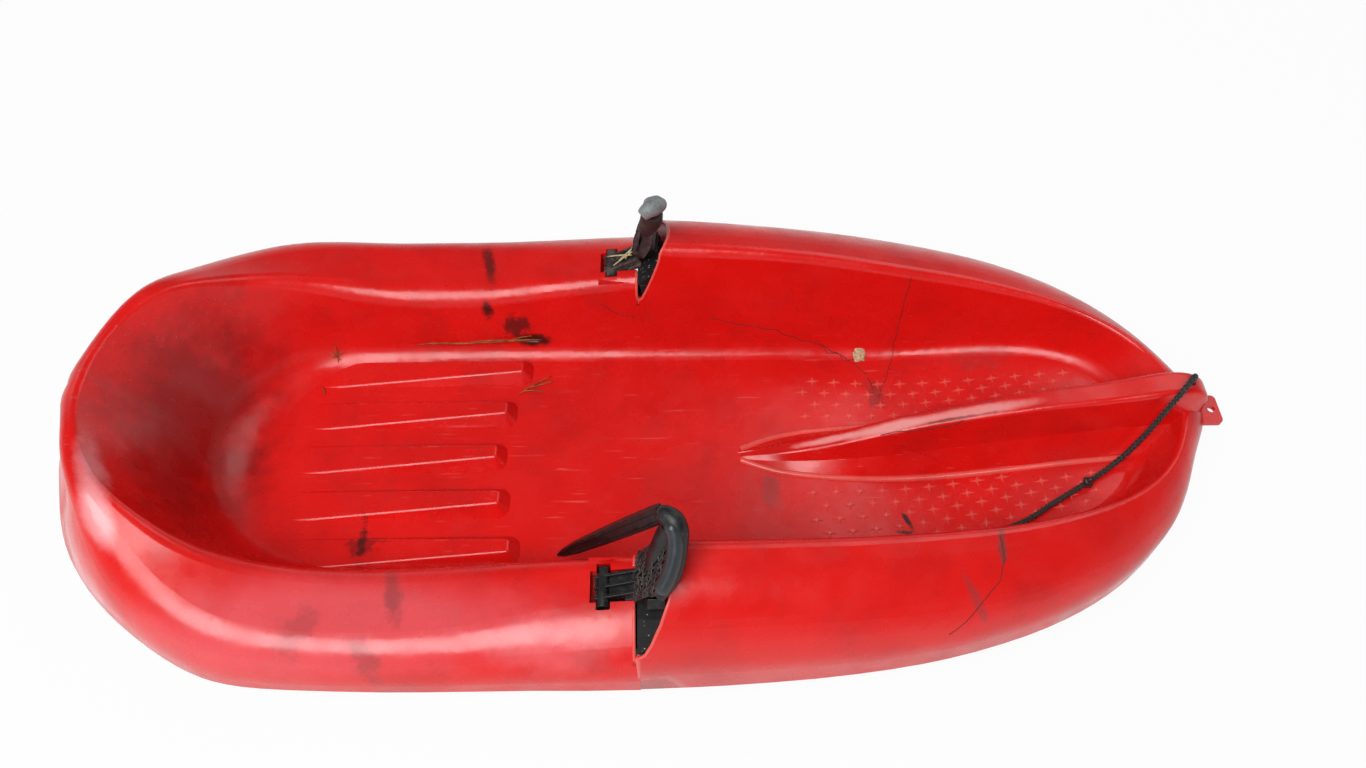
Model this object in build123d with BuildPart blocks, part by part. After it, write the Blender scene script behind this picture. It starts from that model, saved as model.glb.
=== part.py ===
"""Moulded plastic snow sled: one-piece tub with bucket seat, two brake levers and a tow rope.

Millimetres. +X is forward, +Y is the rider's left, +Z is up, and the origin is on the ground under
the middle of the sled. Heights in the tables below are measured from the top of the flat floor.
"""
import os
from math import cos, hypot, pi, radians, sin, tan

from build123d import *

os.makedirs("parts", exist_ok=True)

# ---------------------------------------------------------------- driving dimensions
WALL = 3.6                    # thickness of the moulded skin
FLOOR_Z = 12.0                # top of the flat floor above the ground
FOOT_DROP = 0.4               # the ring's foot lies this far under the floor panel's top
FLOOR_SKIN = WALL - 0.5       # so the panel ends inside the ring, top and bottom
PANEL_COVER = 0.35            # height of the ring's skin over the panel's edge
BOW_START, BOW_END, BOW_RISE = 240.0, 540.0, 50.0   # the floor turns up towards the nose

# Vertical cuts through the left half of the skin, from the floor out to the rim:
# floor corner x, y | rim x, y, z | crest's share of that way, crest z | foot length |
# shoulder's share of the skirt, its drop below the crest | flare of the rim beyond the shoulder's foot
# The aft stretch ends inside the wall of the step.
AFT_SECTIONS = [
    (-430, 0, -595, 0, 34, 0.60, 150, 80, 0.24, 5, 42),
    (-424, 48, -576, 77, 34, 0.605, 149, 80, 0.22, 0, 44),
    (-402, 92, -543, 139, 32, 0.54, 144, 74, 0.30, -6, 20),
    (-365, 124, -482, 199, 30, 0.42, 116, 62, 0.66, -2, 4),
    (-315, 138, -393, 250, 26, 0.275, 91, 48, 0.78, -2, 0),
    (-250, 141, -288, 262, 24, 0.22, 75, 36, 0.80, -3, 0),
    (-170, 141, -179, 264, 22, 0.203, 76, 34, 0.78, -1, 0),
    (-110, 141, -110, 264, 22, 0.206, 84, 34, 0.72, 1, 0),
    (-50, 141, -50, 265, 22, 0.219, 91, 34, 0.66, 2.5, 0),
    (2.4, 141, 2.4, 265, 22, 0.219, 97, 34, 0.62, 4, 0),
]
FORE_SECTIONS = [
    (0, 140.6, 0, 264.4, 22, 0.274, 139, 34, 0.54, 6, 0),
    (60, 141, 60, 263, 22, 0.272, 136.5, 34, 0.53, 6, 0),
    (125, 141, 122, 260, 22, 0.265, 133, 34, 0.51, 6.5, 0),
    (195, 140, 199, 254, 23, 0.25, 127, 34, 0.50, 7, 0),
    (270, 137, 288, 241, 25, 0.223, 118, 34, 0.50, 7, 0),
    (350, 130, 382, 215, 29, 0.216, 110, 32, 0.52, 7, 0),
    (420, 117, 460, 176, 34, 0.229, 104, 30, 0.50, 8, 0),
    (475, 92, 520, 121, 40, 0.355, 98, 28, 0.51, 8, 0),
    (508, 52, 554, 60, 44, 0.57, 96, 26, 0.56, 6, 0),
    (520, 0, 578, 0, 46, 0.547, 96, 26, 0.58, 5, 0),
]
# share of the shorter run that each rounded corner takes: floor corner, crest, shoulder, skirt
ROUNDING = (0.48, 0.22, 0.48, 0.48)


def beyond(end, neighbour):
    """The section that would follow an end one: a mirror image across the middle, or a straight run on."""
    if end[1] == 0:
        return (neighbour[0], -neighbour[1], neighbour[2], -neighbour[3], *neighbour[4:])
    return tuple(2 * a - b for a, b in zip(end, neighbour))


def halved(sections):
    """The sections with one more halfway between each two, on a smooth curve through their neighbours."""
    rows = [beyond(sections[0], sections[1]), *sections, beyond(sections[-1], sections[-2])]
    finer = []
    for before, here, after, later in zip(rows, rows[1:], rows[2:], rows[3:]):
        finer += [here, tuple((9 * (b + c) - a - d) / 16 for a, b, c, d in zip(before, here, after, later))]
    return finer + [sections[-1]]


def bow_rise(x):
    """Height of the floor above its flat part, at x."""
    t = min(max((x - BOW_START) / (BOW_END - BOW_START), 0.0), 1.0)
    return BOW_RISE * t * t * (3 - 2 * t)


def corner_radii(points, shares):
    """Radius of each corner whose arc takes its share of the shorter run beside it."""
    radii = []
    for before, here, after, share in zip(points, points[1:], points[2:], shares):
        run_in, run_out = Vector(*here) - Vector(*before), Vector(*after) - Vector(*here)
        half_turn = radians(run_in.get_angle(run_out) / 2)
        radii.append(share * min(run_in.length, run_out.length) / tan(half_turn))
    return radii


def section_outline(foot_x, foot_y, rim_x, rim_y, rim_z, share, crest_z, foot, shoulder_share, drop, flare):
    """Plane of one cut, its corner points seen from the floor corner, and their radii."""
    reach = hypot(rim_x - foot_x, rim_y - foot_y)
    out_x, out_y = (rim_x - foot_x) / reach, (rim_y - foot_y) / reach
    base = bow_rise(foot_x)
    plane = Plane(origin=(foot_x, foot_y, FLOOR_Z + base), x_dir=(out_x, out_y, 0), z_dir=(out_y, -out_x, 0))
    crest, top, rim = share * reach, crest_z - base, rim_z - base
    skirt, fall = reach - crest, top - rim
    foot_end = bow_rise(foot_x - foot * out_x) - base
    points = [
        (-foot, foot_end - FOOT_DROP),
        (-2, -FOOT_DROP),
        (crest - 3, top + 2),
        (crest + shoulder_share * skirt, top - drop),
        (reach - flare, top - 0.45 * fall),
        (reach, rim),
    ]
    return plane, points, [max(radius, WALL + 1) for radius in corner_radii(points, ROUNDING)]


def under_line(points, radii):
    """Corner points and radii of the line one wall thickness under the given one."""
    points = [Vector(*point) for point in points]
    runs = [(after - before).normalized() for before, after in zip(points, points[1:])]
    downs = [Vector(run.Y, -run.X) * WALL for run in runs]
    corners, corner_sizes = [points[0] + downs[0]], []
    for point, before, after, down, radius in zip(points[1:], runs, runs[1:], downs, radii):
        turn = radians(before.get_signed_angle(after, Vector(0, 0, 1)))
        corners.append(point + down + before * (WALL * tan(turn / 2)))
        corner_sizes.append(radius + (WALL if turn > 0 else -WALL))
    return corners + [points[-1] + downs[-1]], corner_sizes


def ring_section(values):
    """Face of the skin at one cut: foot, wall, crest, deck and skirt down to the rim."""
    plane, points, radii = section_outline(*values)
    under_points, under_radii = under_line(points, radii)
    with BuildSketch(plane) as section:
        with BuildLine():
            outer = FilletPolyline(*points, radius=radii)
            inner = FilletPolyline(*under_points, radius=under_radii)
            Line(outer @ 0, inner @ 0)
            Line(outer @ 1, inner @ 1)
        make_face()
    return section.sketch


def panel_edge(values):
    """Plan point where the floor panel ends, inside the ring's corner."""
    plane, points, radii = section_outline(*values)
    corner_len = ROUNDING[0] * (points[1][0] - points[0][0])
    inset = 2 + corner_len - (2 * radii[0] * (FOOT_DROP + PANEL_COVER)) ** 0.5
    edge = plane.from_local_coords((-inset, 0, 0))
    return edge.X, edge.Y


def ring(sections):
    """Both halves of one stretch of the ring."""
    with BuildPart() as part:
        for values in sections:
            add(ring_section(values))
        loft()
        mirror(about=Plane.XZ)
    return part


def deck_filled(values):
    """Face under the middle of the skin at one cut, closed across the bottom."""
    plane, points, radii = section_outline(*values)
    with BuildSketch(plane) as filled:
        with BuildLine():
            outer = FilletPolyline(*points, radius=radii)
            Polyline(points[-1], (points[-1][0], -FLOOR_Z), (points[0][0], -FLOOR_Z), points[0])
        make_face()
        offset(amount=-WALL / 2, mode=Mode.REPLACE)
    return filled.sketch


# ---------------------------------------------------------------- tub: ring, shoulders and floor
aft_ring = ring(halved(AFT_SECTIONS))
fore_ring = ring(halved(FORE_SECTIONS))

with BuildSketch(Plane.YZ) as under_step:
    Polygon((130, FLOOR_Z + 92), (232, FLOOR_Z + 87), (270, FLOOR_Z + 50), (270, -10), (130, -10), align=None)
with BuildPart() as shoulder:                       # closes the step between the two decks
    add(deck_filled(FORE_SECTIONS[0]) - under_step.sketch)
    extrude(amount=WALL, dir=(1, 0, 0))
    mirror(about=Plane.XZ)

edge_points = [panel_edge(values) for values in AFT_SECTIONS + FORE_SECTIONS[1:]]
with BuildPart() as floor:
    with BuildSketch(Plane.XY) as outline:
        with BuildLine():
            Spline(*edge_points, *[(x, -y) for x, y in edge_points[-2:0:-1]], periodic=True)
        make_face()
    extrude(amount=FLOOR_Z + 2 * BOW_RISE)
    with BuildSketch(Plane.XZ) as profile:
        with BuildLine():
            for level in (FLOOR_Z, FLOOR_Z - FLOOR_SKIN):
                bow = Spline(*[(x, level + bow_rise(x)) for x in range(240, 601, 60)],
                             tangents=[(1, 0), (1, 0)])
                Line((-450, level), bow @ 0)
            Line((-450, FLOOR_Z), (-450, FLOOR_Z - FLOOR_SKIN))
            Line((600, FLOOR_Z + BOW_RISE), (600, FLOOR_Z + BOW_RISE - FLOOR_SKIN))
        make_face()
    extrude(amount=200, both=True, mode=Mode.INTERSECT)

# ---------------------------------------------------------------- foot hump, from its point to the nose
# x | half width at the floor | height of the ridge | half width of the ridge
HUMP_SECTIONS = [
    (102, 5, -1, 2), (150, 23, 10, 5), (205, 30, 29, 8), (260, 33, 52, 9), (320, 35, 74, 10),
    (380, 36, 91, 11), (440, 37, 105, 12), (495, 38, 117, 13), (540, 37, 126, 13), (560, 28, 120, 11),
    (570, 16, 103, 8),
]


def hump_section(x, half_base, ridge, half_ridge, inset=0.0, below=2.5):
    """Face across the hump at x, drawn in by inset and reaching below the floor."""
    base, top = FLOOR_Z + bow_rise(x), FLOOR_Z + ridge - inset
    half_base, half_ridge = half_base - inset, max(half_ridge - 0.6 * inset, 1.2)
    waist = (0.5 * (half_base + half_ridge) - 0.12 * half_base, base + 0.42 * (top - base))
    side = [(half_base, base - below), (half_base, base - 0.1), waist, (half_ridge, top)]
    with BuildSketch(Plane.YZ.offset(x)) as section:
        Polygon(*side, *[(-y, z) for y, z in reversed(side)], align=None)
        ridge_corners = section.vertices().sort_by(Axis.Y)[-2:]
        fillet(ridge_corners, radius=0.42 * half_ridge)
    return section.sketch


with BuildPart() as hump:
    for values in HUMP_SECTIONS:
        add(hump_section(*values))
    loft()
with BuildPart() as hump_hollow:
    for values in HUMP_SECTIONS[1:-1]:
        add(hump_section(*values, inset=WALL, below=14))
    loft()


# ---------------------------------------------------------------- seat ribs, flutes and runners
RIB_REAR, RIB_TOP, RIB_DRAFT = -365.0, 14.0, 36.0
RIB_WIDTH, RIB_PITCH = 36.0, 56.0
RIB_FRONTS = (-120.0, -134.0, -141.0, -134.0, -120.0)
FLUTE_REAR, FLUTE_FRONT, FLUTE_R = (-262.0, 132.7, 20.4), (-117.0, 137.5, 24.2), 10.0
RUNNER_REAR, RUNNER_FRONT, RUNNER_Y, RUNNER_WIDTH = -330.0, 210.0, 84.0, 16.0


def seat_rib(front, inset=0.0):
    """Rib that rises towards its front, with sloping sides, or the hollow under it when drawn in by inset."""
    rear, width, base = RIB_REAR + 9 * inset, RIB_WIDTH - 2.5 * inset, FLOOR_Z - 1 - 1.2 * inset
    with BuildPart() as body:
        with BuildSketch(Plane.XY.offset(base)):
            with Locations(((rear + front - inset) / 2, 0)):
                Rectangle(front - inset - rear, width)
            fillet(vertices().group_by(Axis.X)[-1], radius=13)
        extrude(amount=RIB_TOP + 3, taper=RIB_DRAFT)
        with BuildSketch(Plane.XZ):
            Polygon((rear - 9, base - 1), (rear - 9, FLOOR_Z - inset - 1),
                    (front + 9, FLOOR_Z + RIB_TOP - inset + 1.5), (front + 9, base - 1), align=None)
        extrude(amount=RIB_WIDTH, both=True, mode=Mode.INTERSECT)
        if not inset:
            top = body.faces().filter_by(lambda face: face.normal_at().Z > 0.98).sort_by(SortBy.AREA)[-1]
            fillet(top.edges().filter_by(lambda edge: edge.center().X > rear + 20), radius=4)
    return body.part


with BuildPart() as flute:                          # groove in the wall beside the outer rib
    flute_rear, flute_front = (Vector(x, y, FLOOR_Z + z) for x, y, z in (FLUTE_REAR, FLUTE_FRONT))
    with BuildSketch(Plane(origin=flute_rear, z_dir=flute_front - flute_rear)):
        Circle(FLUTE_R)
    extrude(amount=(flute_front - flute_rear).length)
    with Locations(flute_front):
        Sphere(FLUTE_R)
    mirror(about=Plane.XZ)
rib_places = [((k - 2) * RIB_PITCH, front) for k, front in enumerate(RIB_FRONTS)]

with BuildPart() as runner:
    with BuildSketch(Plane.XY):
        SlotOverall(RUNNER_FRONT - RUNNER_REAR, RUNNER_WIDTH)
    extrude(amount=FLOOR_Z - FLOOR_SKIN + 1)
    chamfer(runner.faces().sort_by(Axis.Z)[0].edges(), length=3)

# ---------------------------------------------------------------- lever seats in the decks
PIVOT_X, PIVOT_Y, PIVOT_Z = -30.0, 195.0, FLOOR_Z + 88.0
AXLE_R, AXLE_LEN, AXLE_GAP = 6.0, 39.0, 0.4
SEAT_STEM, SEAT_STEM_REAR, SEAT_CROSS_LEN = 30.0, -40.0, 44.0
# plan corners of the slot in front of the seat, and of the claw that fills it
SLOT = [(-1.5, 157), (3, 157), (9, 160), (15, 163.5), (21.8, 168), (27.5, 177), (31.5, 190), (33, 203),
        (31.5, 214), (27.8, 225.6), (20.7, 240.8), (12.7, 252.6), (7.4, 257.3), (3, 258.5), (-1.5, 258.5)]
PLUG = [(0.6, 160), (3, 160), (8, 162.3), (13.7, 165.6), (19.8, 169.6), (25.3, 178), (29.2, 190.5), (30.7, 203),
        (29.3, 213.5), (25.7, 224.8), (18.8, 239.7), (11.1, 251), (6.2, 255), (0.6, 255.5)]

with BuildPart() as lever_seat:                     # block under the deck that carries the axle
    with BuildSketch(Plane.YZ.offset(SEAT_STEM_REAR - 4)):
        Polygon((166, FLOOR_Z + 70), (224, FLOOR_Z + 70), (224, FLOOR_Z + 82), (205, FLOOR_Z + 88),
                (190, FLOOR_Z + 90.5), (166, FLOOR_Z + 91.5), align=None)
    extrude(amount=-SEAT_STEM_REAR - 6)
with BuildPart() as lever_cut:                      # T-shaped seat and the slot for the lever's claw
    with BuildSketch(Plane.XY.offset(FLOOR_Z + 74)):
        with Locations((SEAT_STEM_REAR / 2, PIVOT_Y)):
            Rectangle(-SEAT_STEM_REAR + 4, SEAT_STEM)
    extrude(amount=60)
    with BuildSketch(Plane.XY.offset(PIVOT_Z)):
        with Locations((PIVOT_X, PIVOT_Y)):
            Rectangle(2 * (AXLE_R + AXLE_GAP), SEAT_CROSS_LEN)
    extrude(amount=60)
    with Locations((PIVOT_X, PIVOT_Y, PIVOT_Z)):
        Cylinder(AXLE_R + AXLE_GAP, SEAT_CROSS_LEN, rotation=(90, 0, 0))
    with BuildSketch(Plane.XY.offset(FLOOR_Z + 50)):
        Polygon(*SLOT, align=None)
    extrude(amount=100)

# ---------------------------------------------------------------- nose: tow tab and rope hole
TAB_Z, TAB_THICK, TAB_WIDTH, TAB_REAR, TAB_FRONT = FLOOR_Z + 72, 5.0, 34.0, 570.0, 595.0
TOW_HOLE_X, TOW_HOLE_R = 587.0, 4.0
ROPE_R = 3.2
ROPE_HOLE_X, ROPE_HOLE_R = 548.0, 4.2

with BuildPart() as tow_tab:
    with BuildSketch(Plane.XY.offset(TAB_Z)):
        with Locations(((TAB_REAR + TAB_FRONT) / 2, 0)):
            RectangleRounded(TAB_FRONT - TAB_REAR, TAB_WIDTH, 5)
    extrude(amount=TAB_THICK)

with BuildPart() as tub_shell:
    add(aft_ring.part)
    add(fore_ring.part)
    add(shoulder.part)
    add(floor.part)
    add(hump.part)
    for y, front in rib_places:
        with Locations((0, y, 0)):
            add(seat_rib(front))
    with Locations(((RUNNER_REAR + RUNNER_FRONT) / 2, -RUNNER_Y), ((RUNNER_REAR + RUNNER_FRONT) / 2, RUNNER_Y)):
        add(runner.part)
    add(lever_seat.part)
    add(mirror(lever_seat.part, about=Plane.XZ, mode=Mode.PRIVATE))
    add(tow_tab.part)
    add(hump_hollow.part, mode=Mode.SUBTRACT)
    for y, front in rib_places:
        with Locations((0, y, 0)):
            add(seat_rib(front, inset=WALL), mode=Mode.SUBTRACT)
    add(flute.part, mode=Mode.SUBTRACT)
    add(lever_cut.part, mode=Mode.SUBTRACT)
    add(mirror(lever_cut.part, about=Plane.XZ, mode=Mode.PRIVATE), mode=Mode.SUBTRACT)
    with Locations((TOW_HOLE_X, 0, TAB_Z)):
        Cylinder(TOW_HOLE_R, 4 * TAB_THICK, mode=Mode.SUBTRACT)
    with Locations((ROPE_HOLE_X, 0, FLOOR_Z + 125)):
        Cylinder(ROPE_HOLE_R, 30, mode=Mode.SUBTRACT)
tub_shell.part.label = "tub_shell"
export_step(tub_shell.part, "parts/tub_shell.step")

# ---------------------------------------------------------------- brake levers
# Drawn for the left side with the lever at its lower stop.
ARM_PITCH, ARM_REAR, ARM_FRONT = 20.0, -7.0, 36.0
ARM_WIDTH, ARM_SKIN, ARM_RIB = 24.0, 4.0, 9.0
POST_FOOT, POST_HEAD, POST_THICK = (186.0, 86.0), (226.0, 131.0), 10.0     # y, z of the leaning post
FAN_THICK = 6.0
GRIP_R, BAR_R = 10.5, 7.0
GRIP_POINTS = [(21, 224.7, 145), (28.8, 217, 153.2), (34, 207, 162.9), (36.6, 196.3, 172.8), (35.9, 186.7, 181.2),
               (28.5, 179.1, 186.5)]
BAR_END = (-75.0, 130.0, 25.0)
LIFT_LEFT = 9.0               # the left lever rests this far above its stop


def leaning_plane(low, high):
    """Plane that holds the X direction and the line between two (y, z) points, its origin at low."""
    rise = Vector(0, high[0] - low[0], high[1] - low[1]).normalized()
    return Plane(origin=(0, low[0], FLOOR_Z + low[1]), x_dir=(1, 0, 0), z_dir=Vector(1, 0, 0).cross(rise))


with BuildPart() as claw:                           # fills the slot from below and reaches for the snow
    with BuildSketch(Plane.XY.offset(FLOOR_Z + 55)):
        Polygon(*PLUG, align=None)
    extrude(amount=75)
    with BuildSketch(Plane.XZ.offset(-168)):
        Polygon((-6, FLOOR_Z + 60), (35, FLOOR_Z + 60), (33, FLOOR_Z + 40), (24, FLOOR_Z + 5), (17, FLOOR_Z - 6),
                (10, FLOOR_Z - 9), (0, FLOOR_Z + 10), (-6, FLOOR_Z + 35), align=None)
    extrude(amount=-75)
    with BuildSketch(Plane.YZ):
        Polygon((198, FLOOR_Z - 9), (232, FLOOR_Z - 9), (240, FLOOR_Z + 50), (243, FLOOR_Z + 74),
                (257, FLOOR_Z + 87), (219, FLOOR_Z + 126), (159, FLOOR_Z + 126), (159, FLOOR_Z + 92),
                (166, FLOOR_Z + 80), (168, FLOOR_Z + 50), align=None)
    extrude(amount=60, both=True, mode=Mode.INTERSECT)


def brake_lever(with_bar):
    """One lever at its stop: axle, ribbed arm, post, fan, grip, claw and, if whole, the hand bar."""
    grip_points = [(x, y, FLOOR_Z + z) for x, y, z in GRIP_POINTS]
    pitch = radians(ARM_PITCH)
    arm_plane = Plane(origin=(PIVOT_X, PIVOT_Y, PIVOT_Z), x_dir=(cos(pitch), 0, sin(pitch)), z_dir=(0, -1, 0))
    with BuildPart() as lever:
        with Locations((PIVOT_X, PIVOT_Y, PIVOT_Z)):
            Cylinder(AXLE_R, AXLE_LEN, rotation=(90, 0, 0))
        with BuildSketch(arm_plane):
            with Locations(((ARM_REAR + ARM_FRONT) / 2, (ARM_SKIN - ARM_RIB) / 2)):
                Rectangle(ARM_FRONT - ARM_REAR, ARM_SKIN)
        extrude(amount=ARM_WIDTH / 2, both=True)
        for y in (-0.43, 0, 0.43):                  # three ribs along the arm
            with BuildSketch(arm_plane.offset(y * ARM_WIDTH)):
                with Locations(((ARM_REAR + ARM_FRONT) / 2, 0)):
                    Rectangle(ARM_FRONT - ARM_REAR, ARM_RIB)
            extrude(amount=1.6, both=True)
        with BuildSketch(leaning_plane(POST_FOOT, POST_HEAD)):
            Polygon((3, -6), (0, 18), (6, 56), (13, 62), (22, 56), (23, 14), (22, -6), align=None)
        extrude(amount=POST_THICK / 2, both=True)
        with BuildSketch(leaning_plane(POST_HEAD, GRIP_POINTS[-2][1:])):
            Polygon((3, -8), (-3, 18), (6, 43), (28, 56), (36, 40), (33, 15), (24, -6), align=None)
        extrude(amount=FAN_THICK / 2, both=True)
        add(claw.part)
        with BuildLine() as grip_line:
            FilletPolyline(*grip_points, radius=corner_radii(grip_points, [0.45] * (len(grip_points) - 2)))
        with BuildSketch(Plane(origin=grip_line.line @ 0, z_dir=grip_line.line % 0)):
            Circle(GRIP_R)
        sweep(path=grip_line.line)
        with Locations(grip_line.line @ 0, grip_line.line @ 1):
            Sphere(GRIP_R)
        if with_bar:
            start, end = grip_line.line @ 1, Vector(*BAR_END) + Vector(0, 0, FLOOR_Z)
            with BuildSketch(Plane(origin=start, z_dir=end - start)):
                Circle(BAR_R)
            extrude(amount=(end - start).length)
            with Locations(end):
                Sphere(BAR_R)
    return lever.part


brake_lever_right = mirror(brake_lever(with_bar=True), about=Plane.XZ)
brake_lever_right.label = "brake_lever_right"
export_step(brake_lever_right, "parts/brake_lever_right.step")

pivot_axis = Axis((PIVOT_X, PIVOT_Y, PIVOT_Z), (0, -1, 0))
brake_lever_left = brake_lever(with_bar=False).rotate(pivot_axis, LIFT_LEFT)
brake_lever_left.label = "brake_lever_left"
export_step(brake_lever_left, "parts/brake_lever_left.step")

# ---------------------------------------------------------------- tow rope
# The rope comes up through the nose, drops beside the hump and runs back along the right wall.
ROPE_POINTS = [
    (548, 0, 106), (548, -1, 138), (534, -10, 134.5), (520, -24, 116), (511, -32, 89), (499, -40, 71),
    (487, -47, 56), (468, -58, 48), (453, -67, 47.5), (435, -76, 41.5), (414, -86, 35), (387, -102, 28.8),
    (350, -110, 19), (305, -116, 9.8), (262, -118.3, 5), (222, -117.8, 6.3),
]
HANK_LEAN = 60.0              # the put-away turns lean against the wall at this angle from the floor
HANK_AT = (182.0, -126.5, 21.7)                     # x, y, height of their middle
FOLD_AT, FOLD_R, WAIST, HANK_THICK = 37.0, 21.0, 28.0, 19.6
TIE_LENGTH, TIE_THICK = 13.0, 1.8
KNOT_AT, KNOT_R = 8, 6.0

route = [(x, y, FLOOR_Z + z) for x, y, z in ROPE_POINTS]
rope_radii = corner_radii(route, [0.45] * (len(route) - 2))
with BuildPart() as tow_rope:
    with BuildLine() as rope_line:
        FilletPolyline(*route, radius=rope_radii)
    with BuildSketch(Plane(origin=rope_line.line @ 0, z_dir=rope_line.line % 0)):
        Circle(ROPE_R)
    sweep(path=rope_line.line)
tow_rope.part.label = "tow_rope"
export_step(tow_rope.part, "parts/tow_rope.step")
print("rope corner radii", [round(radius, 1) for radius in rope_radii])
print("rope volume / section x length",
      round(tow_rope.part.volume / (pi * ROPE_R ** 2 * rope_line.wires()[0].length), 4))

# The rest of the rope lies folded in a bound hank, leaning in the corner of the right foot well.
lean = radians(HANK_LEAN)
hank_plane = Plane(origin=(HANK_AT[0], HANK_AT[1], FLOOR_Z + HANK_AT[2]), x_dir=(1, 0, 0),
                   z_dir=(0, sin(lean), cos(lean)))
with BuildPart() as rope_hank:
    with BuildSketch(hank_plane):
        with Locations((-FOLD_AT, 0), (FOLD_AT, 0)):
            Circle(FOLD_R)
        Polygon((-FOLD_AT, 3 - FOLD_R), (-12, -WAIST / 2), (12, -WAIST / 2), (FOLD_AT, 3 - FOLD_R),
                (FOLD_AT, FOLD_R - 3), (12, WAIST / 2), (-12, WAIST / 2), (-FOLD_AT, FOLD_R - 3), align=None)
        fillet(vertices(), radius=8)
    extrude(amount=HANK_THICK / 2, both=True)
    fillet(rope_hank.faces().sort_by(SortBy.AREA)[-2:].edges(), radius=4.5)
rope_hank.part.label = "rope_hank"
export_step(rope_hank.part, "parts/rope_hank.step")

with BuildPart() as hank_tie:
    with BuildSketch(Plane(origin=hank_plane.origin, x_dir=hank_plane.y_dir, z_dir=(1, 0, 0))):
        Rectangle(WAIST + 2 * TIE_THICK, HANK_THICK + 2 * TIE_THICK)
        Rectangle(WAIST, HANK_THICK, mode=Mode.SUBTRACT)
    extrude(amount=TIE_LENGTH / 2, both=True)
hank_tie.part.label = "hank_tie"
export_step(hank_tie.part, "parts/hank_tie.step")

for name, place in (("rope_knot", route[KNOT_AT]), ("stopper_knot", (route[0][0], 0, route[0][2] - KNOT_R / 2))):
    with BuildPart() as knot:
        with Locations(place):
            Sphere(KNOT_R)
    knot.part.label = name
    export_step(knot.part, f"parts/{name}.step")
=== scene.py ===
"""Looks of a moulded plastic snow sled with two brake levers and a tow rope, on its CAD frame."""
import logging
import math
from dataclasses import dataclass
from enum import Enum
from typing import Any, Sequence

import bmesh
import bpy
from mathutils import Matrix, Vector, noise
from mathutils.bvhtree import BVHTree


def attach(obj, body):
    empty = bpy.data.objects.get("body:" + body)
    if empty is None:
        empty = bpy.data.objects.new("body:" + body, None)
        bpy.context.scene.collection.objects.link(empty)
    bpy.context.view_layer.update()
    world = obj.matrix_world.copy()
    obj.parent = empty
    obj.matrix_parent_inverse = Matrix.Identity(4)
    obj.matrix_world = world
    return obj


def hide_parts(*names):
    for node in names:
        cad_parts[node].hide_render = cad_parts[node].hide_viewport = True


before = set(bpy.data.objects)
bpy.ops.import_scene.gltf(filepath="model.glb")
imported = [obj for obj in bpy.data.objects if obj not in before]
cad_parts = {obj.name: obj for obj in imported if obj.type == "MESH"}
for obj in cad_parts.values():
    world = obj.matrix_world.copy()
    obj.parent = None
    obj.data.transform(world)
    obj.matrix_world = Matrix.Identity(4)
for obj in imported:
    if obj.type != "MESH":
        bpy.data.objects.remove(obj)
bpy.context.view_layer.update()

logging.basicConfig(level=logging.INFO, format="%(name)s: %(message)s")
log = logging.getLogger("sled")

MM = 0.001
FLOOR_Z = 12 * MM                      # top of the tub's flat floor
SLED, RIGHT, LEFT = "sled", "right_lever", "left_lever"
ROPE_NODES = ("tow_rope", "rope_hank", "hank_tie", "rope_knot", "stopper_knot")
UNDER, OVER = 6, 7                     # the colour sockets of a Mix node

Triple = tuple[float, float, float]
Point = Triple
Plan = tuple[float, float]


# ---------------------------------------------------------------- small tools


def linear(code: str) -> tuple[float, float, float, float]:
    """Turn an sRGB hex colour into the linear RGBA that Blender's sockets take.

    Args:
        code: six hex digits, such as "c81e1e".

    Returns:
        Linear red, green, blue and an alpha of 1.
    """
    channels = [int(code[i:i + 2], 16) / 255 for i in (0, 2, 4)]
    values = [c / 12.92 if c <= 0.04045 else ((c + 0.055) / 1.055) ** 2.4 for c in channels]
    return (*values, 1.0)


def add_node(tree: bpy.types.NodeTree, kind: str, inputs: dict[Any, Any] | None = None,
             **settings: Any) -> bpy.types.Node:
    """Add one node with its settings, values and links.

    Args:
        tree: the node tree that gets it.
        kind: the node's type name.
        inputs: socket name or index to a value, or to the output socket that feeds it.
        **settings: the node's own properties.

    Returns:
        The new node.
    """
    node = tree.nodes.new(kind)
    for name, value in settings.items():
        setattr(node, name, value)
    for key, value in (inputs or {}).items():
        if isinstance(value, bpy.types.NodeSocket):
            tree.links.new(value, node.inputs[key])
        else:
            node.inputs[key].default_value = value
    return node


def new_material(name: str) -> tuple[bpy.types.Material, bpy.types.NodeTree, bpy.types.Node]:
    """Make an empty node material.

    Args:
        name: the material's name.

    Returns:
        The material, its tree and its output node.
    """
    material = bpy.data.materials.new(name)
    material.use_nodes = True
    material.node_tree.nodes.clear()
    return material, material.node_tree, add_node(material.node_tree, "ShaderNodeOutputMaterial")


def dress(piece: bpy.types.Object, material: bpy.types.Material) -> None:
    """Give a piece one material.

    Args:
        piece: a mesh or curve object.
        material: what it wears.
    """
    slots = piece.data.materials
    if slots:
        slots[0] = material
    else:
        slots.append(material)


def new_piece(name: str, mesh: bpy.types.Mesh) -> bpy.types.Object:
    """Put a mesh or curve in the scene as an object at the origin.

    Args:
        name: the piece's name.
        mesh: its data.

    Returns:
        The object.
    """
    piece = bpy.data.objects.new(name, mesh)
    bpy.context.scene.collection.objects.link(piece)
    return piece


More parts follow.
